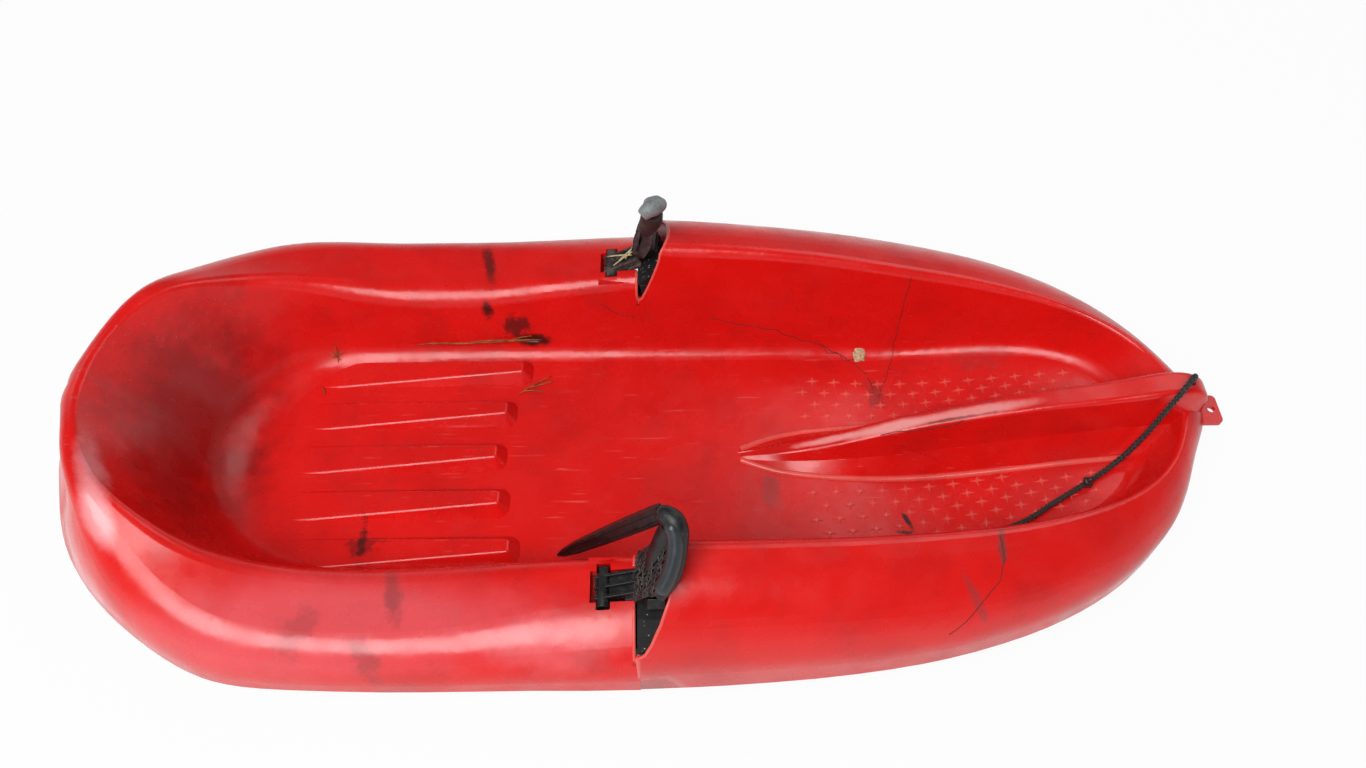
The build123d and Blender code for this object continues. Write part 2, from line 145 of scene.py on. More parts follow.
def finished(piece: bpy.types.Object) -> bpy.types.Object:
    """Apply a piece's modifiers, so that it is a plain mesh at the origin.

    Args:
        piece: the object with live modifiers.

    Returns:
        The same object with its final mesh.
    """
    bpy.context.view_layer.update()
    depsgraph = bpy.context.evaluated_depsgraph_get()
    mesh = bpy.data.meshes.new_from_object(piece.evaluated_get(depsgraph), depsgraph=depsgraph)
    mesh.name = piece.name
    piece.modifiers.clear()
    if piece.type == "MESH":
        piece.data = mesh
        return piece
    name = piece.name
    bpy.data.objects.remove(piece)
    return new_piece(name, mesh)


def skin_rings(work: bmesh.types.BMesh, rings: Sequence[Sequence[bmesh.types.BMVert]]) -> None:
    """Join each ring of corners to the next with a band of faces.

    Args:
        work: the working mesh.
        rings: closed rings with the same number of corners.
    """
    for ring, following in zip(rings, rings[1:]):
        for k in range(len(ring)):
            n = (k + 1) % len(ring)
            work.faces.new((ring[k], ring[n], following[n], following[k]))


def closed_mesh(work: bmesh.types.BMesh, name: str) -> bpy.types.Mesh:
    """Turn a working mesh's faces outward and keep it as a mesh.

    Args:
        work: the working mesh, which is freed.
        name: the new mesh's name.

    Returns:
        The mesh.
    """
    bmesh.ops.recalc_face_normals(work, faces=work.faces)
    mesh = bpy.data.meshes.new(name)
    work.to_mesh(mesh)
    work.free()
    return mesh


def join_meshes(name: str, meshes: Sequence[bpy.types.Mesh]) -> bpy.types.Mesh:
    """Put several meshes into one.

    Args:
        name: the new mesh's name.
        meshes: the closed shapes that it is made of.

    Returns:
        One mesh that holds them all, with faces outward.
    """
    work = bmesh.new()
    for mesh in meshes:
        work.from_mesh(mesh)
    bmesh.ops.remove_doubles(work, verts=work.verts, dist=0.001 * MM)
    return closed_mesh(work, name)


def tube_mesh(points: Sequence[Vector], radii: Sequence[float], sides: int = 8, flat: float = 1.0,
              closed: bool = False) -> bpy.types.Mesh:
    """Make a closed tube along a line.

    Args:
        points: the line, in metres.
        radii: its radius at each point.
        sides: corners of its section.
        flat: height of the section against its width.
        closed: whether the line runs into itself.

    Returns:
        The tube with capped ends, or a ring.
    """
    work = bmesh.new()
    count = len(points)
    normal = (points[1] - points[0]).orthogonal().normalized()
    rings = []
    for i, (point, radius) in enumerate(zip(points, radii)):
        before = points[(i - 1) % count] if closed or i else point
        after = points[(i + 1) % count] if closed or i < count - 1 else point
        ahead = (after - before).normalized()
        normal = (normal - ahead * normal.dot(ahead)).normalized()
        side = ahead.cross(normal)
        turns = [2 * math.pi * k / sides for k in range(sides)]
        rings.append([work.verts.new(point + radius * (normal * math.cos(a) * flat + side * math.sin(a)))
                      for a in turns])
    if closed:
        start = min(range(sides), key=lambda k: (rings[0][k].co - rings[-1][0].co).length)
        rings.append(rings[0][start:] + rings[0][:start])
    skin_rings(work, rings)
    if not closed:
        work.faces.new(rings[0])
        work.faces.new(rings[-1])
    for face in work.faces:
        face.smooth = len(face.verts) == 4
    return closed_mesh(work, "tube")


def slab_mesh(outline: Sequence[Vector], depth: Vector) -> bpy.types.Mesh:
    """Make a flat slab from its outline.

    Args:
        outline: corners of one face, in metres.
        depth: the way from that face to the other.

    Returns:
        The closed slab.
    """
    work = bmesh.new()
    near = [work.verts.new(point) for point in outline]
    far = [work.verts.new(point + depth) for point in outline]
    work.faces.new(near)
    work.faces.new(far)
    skin_rings(work, (near, far))
    return closed_mesh(work, "slab")


def bevelled(name: str, mesh: bpy.types.Mesh, width: float, segments: int = 2) -> bpy.types.Mesh:
    """Round a mesh's edges.

    Args:
        name: the new mesh's name.
        mesh: the sharp shape.
        width: how wide the rounding is, in metres.
        segments: faces across it.

    Returns:
        The rounded mesh.
    """
    piece = new_piece(name, mesh)
    modifier = piece.modifiers.new("edges", "BEVEL")
    modifier.width, modifier.segments, modifier.limit_method = width, segments, "ANGLE"
    mesh = finished(piece).data
    bpy.data.objects.remove(piece)
    return mesh


def common_part(name: str, first: bpy.types.Mesh, second: bpy.types.Mesh) -> bpy.types.Mesh:
    """Keep what two closed shapes share.

    Args:
        name: the new mesh's name.
        first: one shape.
        second: the other.

    Returns:
        Their common part.
    """
    piece, tool = new_piece(name, first), new_piece("tool", second)
    modifier = piece.modifiers.new("common", "BOOLEAN")
    modifier.operation, modifier.object = "INTERSECT", tool
    mesh = finished(piece).data
    bpy.data.objects.remove(piece)
    bpy.data.objects.remove(tool)
    return mesh


def geometry_tree(name: str, inputs: Sequence[tuple[str, str]]) -> tuple[bpy.types.NodeTree, bpy.types.Node,
                                                                        bpy.types.Node]:
    """Start a Geometry Nodes tree.

    Args:
        name: the tree's name.
        inputs: name and socket type of each input after the geometry.

    Returns:
        The tree, its input node and its output node.
    """
    tree = bpy.data.node_groups.new(name, "GeometryNodeTree")
    tree.interface.new_socket("Geometry", in_out="INPUT", socket_type="NodeSocketGeometry")
    for label, kind in inputs:
        tree.interface.new_socket(label, in_out="INPUT", socket_type=kind)
    tree.interface.new_socket("Geometry", in_out="OUTPUT", socket_type="NodeSocketGeometry")
    return tree, tree.nodes.new("NodeGroupInput"), tree.nodes.new("NodeGroupOutput")


def close_tree(tree: bpy.types.NodeTree, group_in: bpy.types.Node, group_out: bpy.types.Node,
               geometry: bpy.types.NodeSocket, smooth: bool = True) -> None:
    """End a tree in realized and dressed geometry.

    Args:
        tree: the tree.
        group_in: its input node, which has a Material input.
        group_out: its output node.
        geometry: what the tree made.
        smooth: whether its faces are shaded smooth.
    """
    if smooth:
        shaded = add_node(tree, "GeometryNodeSetShadeSmooth", {"Geometry": geometry, "Shade Smooth": True})
        geometry = shaded.outputs[0]
    real = add_node(tree, "GeometryNodeRealizeInstances", {"Geometry": geometry})
    worn = add_node(tree, "GeometryNodeSetMaterial",
                    {"Geometry": real.outputs[0], "Material": group_in.outputs["Material"]})
    tree.links.new(worn.outputs[0], group_out.inputs[0])


def grow(name: str, seed_mesh: bpy.types.Mesh, tree: bpy.types.NodeTree,
         values: dict[str, Any]) -> bpy.types.Object:
    """Run a Geometry Nodes tree on a mesh and keep its result.

    Args:
        name: the piece's name.
        seed_mesh: what the tree starts from.
        tree: the tree.
        values: its named inputs.

    Returns:
        The piece with a plain mesh.
    """
    piece = new_piece(name, seed_mesh)
    modifier = piece.modifiers.new("grow", "NODES")
    modifier.node_group = tree
    identifiers = {item.name: item.identifier for item in tree.interface.items_tree if item.in_out == "INPUT"}
    for label, value in values.items():
        modifier[identifiers[label]] = value
    return finished(piece)


def line_mesh(name: str, points: Sequence[Vector]) -> bpy.types.Mesh:
    """Make a mesh that is one open line of edges.

    Args:
        name: the mesh's name.
        points: its points.

    Returns:
        The line.
    """
    mesh = bpy.data.meshes.new(name)
    mesh.from_pydata([tuple(p) for p in points], [(i, i + 1) for i in range(len(points) - 1)], [])
    return mesh


def smooth_line(points: Sequence[Point], steps: int) -> list[Vector]:
    """A smooth line with the given control points in millimetres.

    Args:
        points: control points.
        steps: points on each run.

    Returns:
        Points along it, in metres.
    """
    line = []
    ends = [Vector(p) for p in (points[0], *points, points[-1])]
    for a, b, c in zip(ends, ends[1:], ends[2:]):
        for k in range(steps):
            t = k / steps
            line.append(((a + b) / 2 * (1 - t) ** 2 + b * 2 * t * (1 - t) + (b + c) / 2 * t * t) * MM)
    return [*line, Vector(points[-1]) * MM]


def on_floor(point: Point) -> Vector:
    """Metres in the sled's frame from millimetres whose height is measured from the flat floor."""
    return Vector(point) * MM + Vector((0, 0, FLOOR_Z))


def shade_smooth(mesh: bpy.types.Mesh) -> None:
    """Shade every face of a mesh smooth."""
    mesh.polygons.foreach_set("use_smooth", [True] * len(mesh.polygons))


def rides(piece: bpy.types.Object, body: str) -> bpy.types.Object:
    """Fix a piece to a body and report it.

    Args:
        piece: the piece.
        body: the body that carries it.

    Returns:
        The piece.
    """
    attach(piece, body)
    log.info("%s rides on %s", piece.name, body)
    return piece


# ---------------------------------------------------------------- camera, floor and light


@dataclass
class ViewCamera:
    """The camera that looks down on the sled's right side."""

    place: Point = (0.0256, -0.6121, 0.9894)
    look_down: float = 54.12           # degrees below the level
    turn: float = 1.82                 # degrees from square across the sled
    roll: float = 0.84                 # degrees
    lens: float = 28.25                # mm
    sensor: float = 36.0               # mm
    nearest: float = 0.05
    farthest: float = 60.0

    def build(self) -> None:
        """Make the camera and set it as the scene's."""
        down, turn, roll = (math.radians(a) for a in (self.look_down, self.turn, self.roll))
        ahead = Vector((math.sin(turn) * math.cos(down), math.cos(turn) * math.cos(down), -math.sin(down)))
        right = Vector((math.cos(turn), -math.sin(turn), 0))
        up = right.cross(ahead)
        axis_x = right * math.cos(roll) + up * math.sin(roll)
        axis_y = up * math.cos(roll) - right * math.sin(roll)
        data = bpy.data.cameras.new("view")
        data.lens = self.lens
        data.sensor_width = self.sensor
        data.clip_start, data.clip_end = self.nearest, self.farthest
        camera = bpy.data.objects.new("view", data)
        bpy.context.scene.collection.objects.link(camera)
        aim = Matrix((axis_x, axis_y, -ahead)).transposed().to_4x4()
        camera.matrix_world = Matrix.Translation(self.place) @ aim
        bpy.context.scene.camera = camera


@dataclass
class Studio:
    """Pale floor, pale surroundings and soft lamps."""

    floor_size: float = 30.0
    floor_colour: str = "e9e9e9"
    floor_white: float = 0.94          # share of plain white in what the eye sees of the floor
    low_light: float = 0.8             # strength of the surroundings near the horizon
    high_light: float = 0.13           # and overhead
    # name, place, side in metres and watts
    lamps: tuple[tuple[str, Point, float, float], ...] = (
        ("key", (-0.75, -1.3, 2.3), 1.7, 66),
        ("fill", (1.3, 1.4, 2.2), 1.6, 12),
    )

    def build(self) -> None:
        """Make the floor, the world and the lamps."""
        self._floor()
        self._world()
        for lamp in self.lamps:
            self._lamp(*lamp)

    def _floor(self) -> None:
        """A large pale floor that shows nearly white and keeps the sled's shadow."""
        half = self.floor_size / 2
        mesh = bpy.data.meshes.new("studio_floor")
        corners = [(-half, -half, 0), (half, -half, 0), (half, half, 0), (-half, half, 0)]
        mesh.from_pydata(corners, [], [(0, 1, 2, 3)])
        floor = new_piece("studio_floor", mesh)
        material, tree, output = new_material("painted_studio_floor")
        matt = add_node(tree, "ShaderNodeBsdfDiffuse", {"Color": linear(self.floor_colour)})
        glow = add_node(tree, "ShaderNodeEmission", {"Color": (1, 1, 1, 1), "Strength": 1.0})
        path = add_node(tree, "ShaderNodeLightPath")
        seen = path.outputs["Is Camera Ray"]
        for ray in ("Is Glossy Ray", "Is Transmission Ray"):
            either = add_node(tree, "ShaderNodeMath", {0: seen, 1: path.outputs[ray]}, operation="MAXIMUM")
            seen = either.outputs[0]
        share = add_node(tree, "ShaderNodeMath", {0: seen, 1: self.floor_white}, operation="MULTIPLY")
        mix = add_node(tree, "ShaderNodeMixShader",
                       {0: share.outputs[0], 1: matt.outputs[0], 2: glow.outputs[0]})
        tree.links.new(mix.outputs[0], output.inputs["Surface"])
        dress(floor, material)

    def _world(self) -> None:
        """Surroundings that are white at the horizon and dim overhead."""
        world = bpy.data.worlds.new("studio")
        bpy.context.scene.world = world
        world.use_nodes = True
        tree = world.node_tree
        tree.nodes.clear()
        place = add_node(tree, "ShaderNodeTexCoord")
        parts = add_node(tree, "ShaderNodeSeparateXYZ", {0: place.outputs["Generated"]})
        level = add_node(tree, "ShaderNodeMapRange",
                         {"Value": parts.outputs["Z"], "From Min": 0.05, "From Max": 0.5,
                          "To Min": self.low_light, "To Max": self.high_light})
        sky = add_node(tree, "ShaderNodeBackground",
                       {"Color": linear("fbfcff"), "Strength": level.outputs[0]})
        output = add_node(tree, "ShaderNodeOutputWorld")
        tree.links.new(sky.outputs[0], output.inputs["Surface"])

    def _lamp(self, name: str, place: Point, size: float, power: float) -> None:
        """A square soft lamp aimed at the sled.

        Args:
            name: the lamp's name.
            place: where it hangs.
            size: the length of its side.
            power: watts.
        """
        data = bpy.data.lights.new(name, "AREA")
        data.energy, data.size = power, size
        lamp = bpy.data.objects.new(name, data)
        lamp.location = place
        lamp.rotation_euler = (Vector((0, 0, 0.05)) - Vector(place)).to_track_quat("-Z", "Y").to_euler()
        bpy.context.scene.collection.objects.link(lamp)


# ---------------------------------------------------------------- finishes


@dataclass(frozen=True)
class Mark:
    """A stain, a faded patch, or a patch of painted highlight, reflection or shade on the tub, in millimetres
    from the ground under its middle.
    """

    place: Point
    size: Point                # half its length, width and height
    turn: float                # degrees about the vertical
    colour: str
    strength: float            # how much of the plastic's colour it covers in its middle
    ragged: float = 0.9        # how uneven its edge is
    pitch: float = 0.0         # degrees that its length rises towards the nose


@dataclass(frozen=True)
class MouldedPolyethylene:
    """Moulded polyethylene: a waxy gloss over a faint ripple, scuffed to pink and rubbed with dirt, with
    marks of painted highlight, reflection and shade.
    """

    name: str = "moulded_polyethylene_red"
    colour: str = "e01511"
    deep: str = "b50c0c"
    scuffed: str = "f0807c"
    grime: str = "6a2420"
    ior: float = 1.51
    glossiest: float = 0.2     # roughness where the skin is whole
    dullest: float = 0.36      # roughness where it is worn
    wear: float = 30.0         # mm across a worn patch
    ripple: float = 2.5        # mm between the ripples of the mould
    warp: float = 70.0         # mm between the slow waves of the cooled skin
    scratch: float = 0.6       # mm across a scratch, drawn about twice as coarse as it is so that it shows
    # each direction of scratches: its turn in radians, a scratch's length in mm and a seed
    strokes: tuple[Triple, ...] = ((0.35, 60.0, 0.0), (-0.6, 45.0, 7.0), (1.3, 80.0, 13.0))
    # where the scratches lie: only the places, sizes, strengths and edges of these two marks are used
    seat_wear: Mark = Mark((-470, 0, 110), (170, 230, 130), 0, "000000", 0.85, 0.5)
    floor_wear: Mark = Mark((100, 0, 20), (600, 260, 90), 0, "000000", 0.5, 0.5)
    blotch: float = 90.0       # mm across a patch of uneven colour
    cloud: float = 45.0        # mm across a cloud of thin dirt
    speck: float = 3.0         # mm between specks of dirt
    rags: float = 2.2          # rags of a mark's edge over half its greatest length
    # stains, and patches of painted highlight, reflection and shade
    marks: tuple[Mark, ...] = ()

    def build(self) -> bpy.types.Material:
        """Make the material.

        Returns:
            The material.
        """
        material, tree, output = new_material(self.name)
        place = add_node(tree, "ShaderNodeTexCoord").outputs["Object"]
        covers = [(self.deep, self._unevenness(tree, place)), (self.scuffed, self._scratches(tree, place)),
                  (self.grime, self._grime(tree, place))]
        covers += [(mark.colour, self._mask(tree, place, mark)) for mark in self.marks]
        colour = linear(self.colour)
        for over, share in covers:
            mix = add_node(tree, "ShaderNodeMix", {0: share, UNDER: colour, OVER: linear(over)},
                           data_type="RGBA")
            colour = mix.outputs[2]
        worn = add_node(tree, "ShaderNodeTexNoise",
                        {"Vector": place, "Scale": 1000 / self.wear, "Detail": 5.0})
        rough = add_node(tree, "ShaderNodeMapRange",
                         {"Value": worn.outputs["Fac"], "From Min": 0.35, "From Max": 0.7,
                          "To Min": self.glossiest, "To Max": self.dullest})
        shader = add_node(tree, "ShaderNodeBsdfPrincipled",
                          {"Base Color": colour, "Roughness": rough.outputs[0], "IOR": self.ior,
                           "Normal": self._relief(tree, place)})
        tree.links.new(shader.outputs[0], output.inputs["Surface"])
        return material

    def _unevenness(self, tree: bpy.types.NodeTree, place: bpy.types.NodeSocket) -> bpy.types.NodeSocket:
        """Wide patches where the colour is a little deeper.

        Args:
            tree: the material's tree.
            place: object coordinates.

        Returns:
            How much of the surface they cover.
        """
        wide = add_node(tree, "ShaderNodeTexNoise",
                        {"Vector": place, "Scale": 1000 / self.blotch, "Detail": 4.0})
        share = add_node(tree, "ShaderNodeMapRange",
                         {"Value": wide.outputs["Fac"], "From Min": 0.42, "From Max": 0.72,
                          "To Min": 0.0, "To Max": 0.35})
        return share.outputs[0]

    def _scratches(self, tree: bpy.types.NodeTree, place: bpy.types.NodeSocket) -> bpy.types.NodeSocket:
        """Long fine scratches in three directions, thickest where a rider sits and leans.

        Args:
            tree: the material's tree.
            place: object coordinates.

        Returns:
            How much of the surface they cover.
        """
        across = 1000 / (self.scratch * 4)      # a line of the noise is a quarter of its scale wide
        lines = []
        for turn, length, seed in self.strokes:
            turned = add_node(tree, "ShaderNodeMapping",
                              {"Vector": place, "Location": (seed, seed, seed), "Rotation": (0.3, 0.2, turn),
                               "Scale": (1000 / length, across, across)})
            streak = add_node(tree, "ShaderNodeTexNoise",
                              {"Vector": turned.outputs[0], "Scale": 1.0, "Detail": 2.0})
            line = add_node(tree, "ShaderNodeMapRange",
                            {"Value": streak.outputs["Fac"], "From Min": 0.70, "From Max": 0.80,
                             "To Min": 0.0, "To Max": 1.0})
            lines.append(line.outputs[0])
        total = lines[0]
        for line in lines[1:]:
            total = add_node(tree, "ShaderNodeMath", {0: total, 1: line}, operation="MAXIMUM").outputs[0]
        seat, floor = (self._mask(tree, place, mark) for mark in (self.seat_wear, self.floor_wear))
        where = add_node(tree, "ShaderNodeMath", {0: seat, 1: floor}, operation="MAXIMUM")
        cover = add_node(tree, "ShaderNodeMath", {0: total, 1: where.outputs[0]}, operation="MULTIPLY")
        return cover.outputs[0]

    def _grime(self, tree: bpy.types.NodeTree, place: bpy.types.NodeSocket) -> bpy.types.NodeSocket:
        """Thin dirt in clouds, with specks among it.

        Args:
            tree: the material's tree.
            place: object coordinates.

        Returns:
            How much of the surface it covers.
        """
        cloud = add_node(tree, "ShaderNodeTexNoise",
                         {"Vector": place, "Scale": 1000 / self.cloud, "Detail": 7.0, "Roughness": 0.65})
        share = add_node(tree, "ShaderNodeMapRange",
                         {"Value": cloud.outputs["Fac"], "From Min": 0.5, "From Max": 0.75,
                          "To Min": 0.0, "To Max": 0.16})
        speck = add_node(tree, "ShaderNodeTexNoise",
                         {"Vector": place, "Scale": 1000 / self.speck, "Detail": 2.0})
        grains = add_node(tree, "ShaderNodeMapRange",
                          {"Value": speck.outputs["Fac"], "From Min": 0.70, "From Max": 0.76,
                           "To Min": 0.0, "To Max": 0.5})
        cover = add_node(tree, "ShaderNodeMath", {0: share.outputs[0], 1: grains.outputs[0]},
                         operation="MAXIMUM")
        return cover.outputs[0]

    def _mask(self, tree: bpy.types.NodeTree, place: bpy.types.NodeSocket,
              mark: Mark) -> bpy.types.NodeSocket:
        """Where one mark lies: an ellipsoid with a ragged, fading edge.

        Args:
            tree: the material's tree.
            place: object coordinates.
            mark: the mark.

        Returns:
            Its cover from 0 to its strength.
        """
        centred = add_node(tree, "ShaderNodeMapping",
                           {"Vector": place, "Location": [c * MM for c in mark.place],
                            "Rotation": (0, -math.radians(mark.pitch), math.radians(mark.turn)),
                            "Scale": [c * MM for c in mark.size]}, vector_type="TEXTURE")
        rag = add_node(tree, "ShaderNodeTexNoise",
                       {"Vector": place, "Scale": 1000 * self.rags / max(mark.size), "Detail": 6.0,
                        "Roughness": 0.7})
        shift = add_node(tree, "ShaderNodeMapRange",
                         {"Value": rag.outputs["Fac"], "From Min": 0.3, "From Max": 0.7,
                          "To Min": -0.5 * mark.ragged, "To Max": 0.5 * mark.ragged})
        far = add_node(tree, "ShaderNodeVectorMath", {0: centred.outputs[0]}, operation="LENGTH")
        edge = add_node(tree, "ShaderNodeMath", {0: far.outputs["Value"], 1: shift.outputs[0]},
                        operation="ADD")
        cover = add_node(tree, "ShaderNodeMapRange",
                         {"Value": edge.outputs[0], "From Min": 1.0, "From Max": 0.35,
                          "To Min": 0.0, "To Max": mark.strength}, interpolation_type="SMOOTHSTEP")
        return cover.outputs[0]

    def _relief(self, tree: bpy.types.NodeTree, place: bpy.types.NodeSocket) -> bpy.types.NodeSocket:
        """The mould's faint ripple, over slow waves where the skin has warped.

        Args:
            tree: the material's tree.
            place: object coordinates.

        Returns:
            The normal.
        """
        fine = add_node(tree, "ShaderNodeTexNoise",
                        {"Vector": place, "Scale": 1000 / self.ripple, "Detail": 2.0})
        slow = add_node(tree, "ShaderNodeTexNoise",
                        {"Vector": place, "Scale": 1000 / self.warp, "Detail": 3.0})
        wave = add_node(tree, "ShaderNodeBump",
                        {"Height": slow.outputs["Fac"], "Distance": 2.2 * MM, "Strength": 0.6})
        bump = add_node(tree, "ShaderNodeBump",
                        {"Height": fine.outputs["Fac"], "Distance": 0.1 * MM, "Strength": 0.35,
                         "Normal": wave.outputs[0]})
        return bump.outputs[0]


@dataclass(frozen=True)
class DustyPlastic:
    """Moulded polypropylene: a dull sheen, with dry dust and grit on what faces up."""

    name: str
    colour: str
    dust: str
    cover: float               # how much the veil of dust covers
    flecks: float = 0.7        # how much a speck of grit covers
    grit: float = 2.2          # mm between specks of grit
    roughness: float = 0.42
    dusty_roughness: float = 0.9
    cloud: float = 12.0        # mm across a cloud of dust
    patch: float = 6.0         # mm across a patch that holds grit
    ior: float = 1.49

    def build(self) -> bpy.types.Material:
        """Make the material.

        Returns:
            The material.
        """
        material, tree, output = new_material(self.name)
        place = add_node(tree, "ShaderNodeTexCoord").outputs["Object"]
        cloud = add_node(tree, "ShaderNodeTexNoise",
                         {"Vector": place, "Scale": 1000 / self.cloud, "Detail": 6.0, "Roughness": 0.7})
        veil = add_node(tree, "ShaderNodeMapRange",
                        {"Value": cloud.outputs["Fac"], "From Min": 0.45, "From Max": 0.75,
                         "To Min": 0.0, "To Max": self.cover})
        speck = add_node(tree, "ShaderNodeTexVoronoi", {"Vector": place, "Scale": 1000 / self.grit})
        grain = add_node(tree, "ShaderNodeMapRange",
                         {"Value": speck.outputs["Distance"], "From Min": 0.22, "From Max": 0.12,
                          "To Min": 0.0, "To Max": self.flecks})
        patch = add_node(tree, "ShaderNodeTexNoise",
                         {"Vector": place, "Scale": 1000 / self.patch, "Detail": 2.0})
        some = add_node(tree, "ShaderNodeMapRange",
                        {"Value": patch.outputs["Fac"], "From Min": 0.5, "From Max": 0.6,
                         "To Min": 0.0, "To Max": 1.0})
        grit = add_node(tree, "ShaderNodeMath", {0: grain.outputs[0], 1: some.outputs[0]},
                        operation="MULTIPLY")
        facing = add_node(tree, "ShaderNodeNewGeometry")
        up = add_node(tree, "ShaderNodeSeparateXYZ", {0: facing.outputs["Normal"]})
        lying = add_node(tree, "ShaderNodeMapRange",
                         {"Value": up.outputs["Z"], "From Min": -0.2, "From Max": 0.8,
                          "To Min": 0.25, "To Max": 1.0})
        both = add_node(tree, "ShaderNodeMath", {0: veil.outputs[0], 1: grit.outputs[0]},
                        operation="MAXIMUM")
        share = add_node(tree, "ShaderNodeMath", {0: both.outputs[0], 1: lying.outputs[0]},
                         operation="MULTIPLY")
        colour = add_node(tree, "ShaderNodeMix",
                          {0: share.outputs[0], UNDER: linear(self.colour), OVER: linear(self.dust)},
                          data_type="RGBA")
        rough = add_node(tree, "ShaderNodeMapRange",
                         {"Value": share.outputs[0], "From Min": 0.0, "From Max": 0.5,
                          "To Min": self.roughness, "To Max": self.dusty_roughness})
        bump = add_node(tree, "ShaderNodeBump",
                        {"Height": cloud.outputs["Fac"], "Distance": 0.3 * MM, "Strength": 0.4})
        shader = add_node(tree, "ShaderNodeBsdfPrincipled",
                          {"Base Color": colour.outputs[2], "Roughness": rough.outputs[0], "IOR": self.ior,
                           "Normal": bump.outputs[0]})
        tree.links.new(shader.outputs[0], output.inputs["Surface"])
        return material


@dataclass(frozen=True)
class Fibre:
    """Braided nylon, dry needles, roots or mud: dull and dry, in two close shades."""

    name: str
    colour: str
    other: str
    grain: float               # mm between one shade and the next
    roughness: float = 0.75
    ior: float = 1.53

    def build(self) -> bpy.types.Material:
        """Make the material.

        Returns:
            The material.
        """
        material, tree, output = new_material(self.name)
        place = add_node(tree, "ShaderNodeTexCoord").outputs["Object"]
        shade = add_node(tree, "ShaderNodeTexNoise",
                         {"Vector": place, "Scale": 1000 / self.grain, "Detail": 4.0})
        share = add_node(tree, "ShaderNodeMapRange",
                         {"Value": shade.outputs["Fac"], "From Min": 0.35, "From Max": 0.65,
                          "To Min": 0.0, "To Max": 1.0})
        colour = add_node(tree, "ShaderNodeMix",
                          {0: share.outputs[0], UNDER: linear(self.colour), OVER: linear(self.other)},
                          data_type="RGBA")
        bump = add_node(tree, "ShaderNodeBump",
                        {"Height": shade.outputs["Fac"], "Distance": 0.2 * MM, "Strength": 0.5})
        shader = add_node(tree, "ShaderNodeBsdfPrincipled",
                          {"Base Color": colour.outputs[2], "Roughness": self.roughness, "IOR": self.ior,
                           "Normal": bump.outputs[0]})
        tree.links.new(shader.outputs[0], output.inputs["Surface"])
        return material


class Finish(Enum):
    """The small pieces' finishes."""

    # near black with a soft shine, and a thin veil of dust on top
    BLACK = DustyPlastic("moulded_polypropylene_black", "0e0e10", "7c756d", cover=0.14)
    # a charcoal that looks grey for its dust and grit
    WEB = DustyPlastic("dusty_polypropylene_black", "1b1a1a", "a39b92", cover=0.3, flecks=0.9, grit=1.8,
                       roughness=0.5)
    # deep matt black with pale grains lying on it, darker and barer of dust than the lever's other black:
    # partly painted shade of the deep slot that it fills
    CLAW = DustyPlastic("gritty_polypropylene_black", "040405", "c9c4be", cover=0.02, flecks=0.9, grit=3.4,
                        roughness=0.75)
    # smooth dark grey with a broad highlight
    GRIP = DustyPlastic("soft_grip_plastic_grey", "2b3033", "5b5f62", cover=0.15, flecks=0.3, grit=2.6,
                        roughness=0.3)
    # a grey bleached by the weather, mottled with brown dirt
    OLD_GRIP = DustyPlastic("weathered_grip_plastic_grey", "8a8f8f", "2b2725", cover=0.75, flecks=1.0,
                            grit=3.0, roughness=0.6)
    # black gone brownish and dry, with pale dirt in it
    OLD_BLACK = DustyPlastic("weathered_polypropylene_brown", "2c2021", "a89a8a", cover=0.42, flecks=1.0,
                             grit=2.4, roughness=0.7)
    # black with a faint gloss on each strand
    ROPE = Fibre("braided_nylon_black", "08080a", "3a3836", grain=1.2, roughness=0.5)
    # warm orange brown
    NEEDLE = Fibre("dry_pine_needle", "b26a2a", "7a3d18", grain=8.0, roughness=0.6)
    # pale and dry
    STRAW = Fibre("dry_straw", "cfc39a", "a48f5e", grain=6.0, roughness=0.6)
    # dark lines, redder where they thin out
    ROOT = Fibre("fine_root", "3c1512", "5a2018", grain=7.0)
    # chalky tan without any shine
    MUD = Fibre("dried_mud", "d9c39c", "a98763", grain=2.5, roughness=0.95)

    def material(self) -> bpy.types.Material:
        """Its material, made once."""
        return bpy.data.materials.get(self.value.name) or self.value.build()


# ---------------------------------------------------------------- tow rope


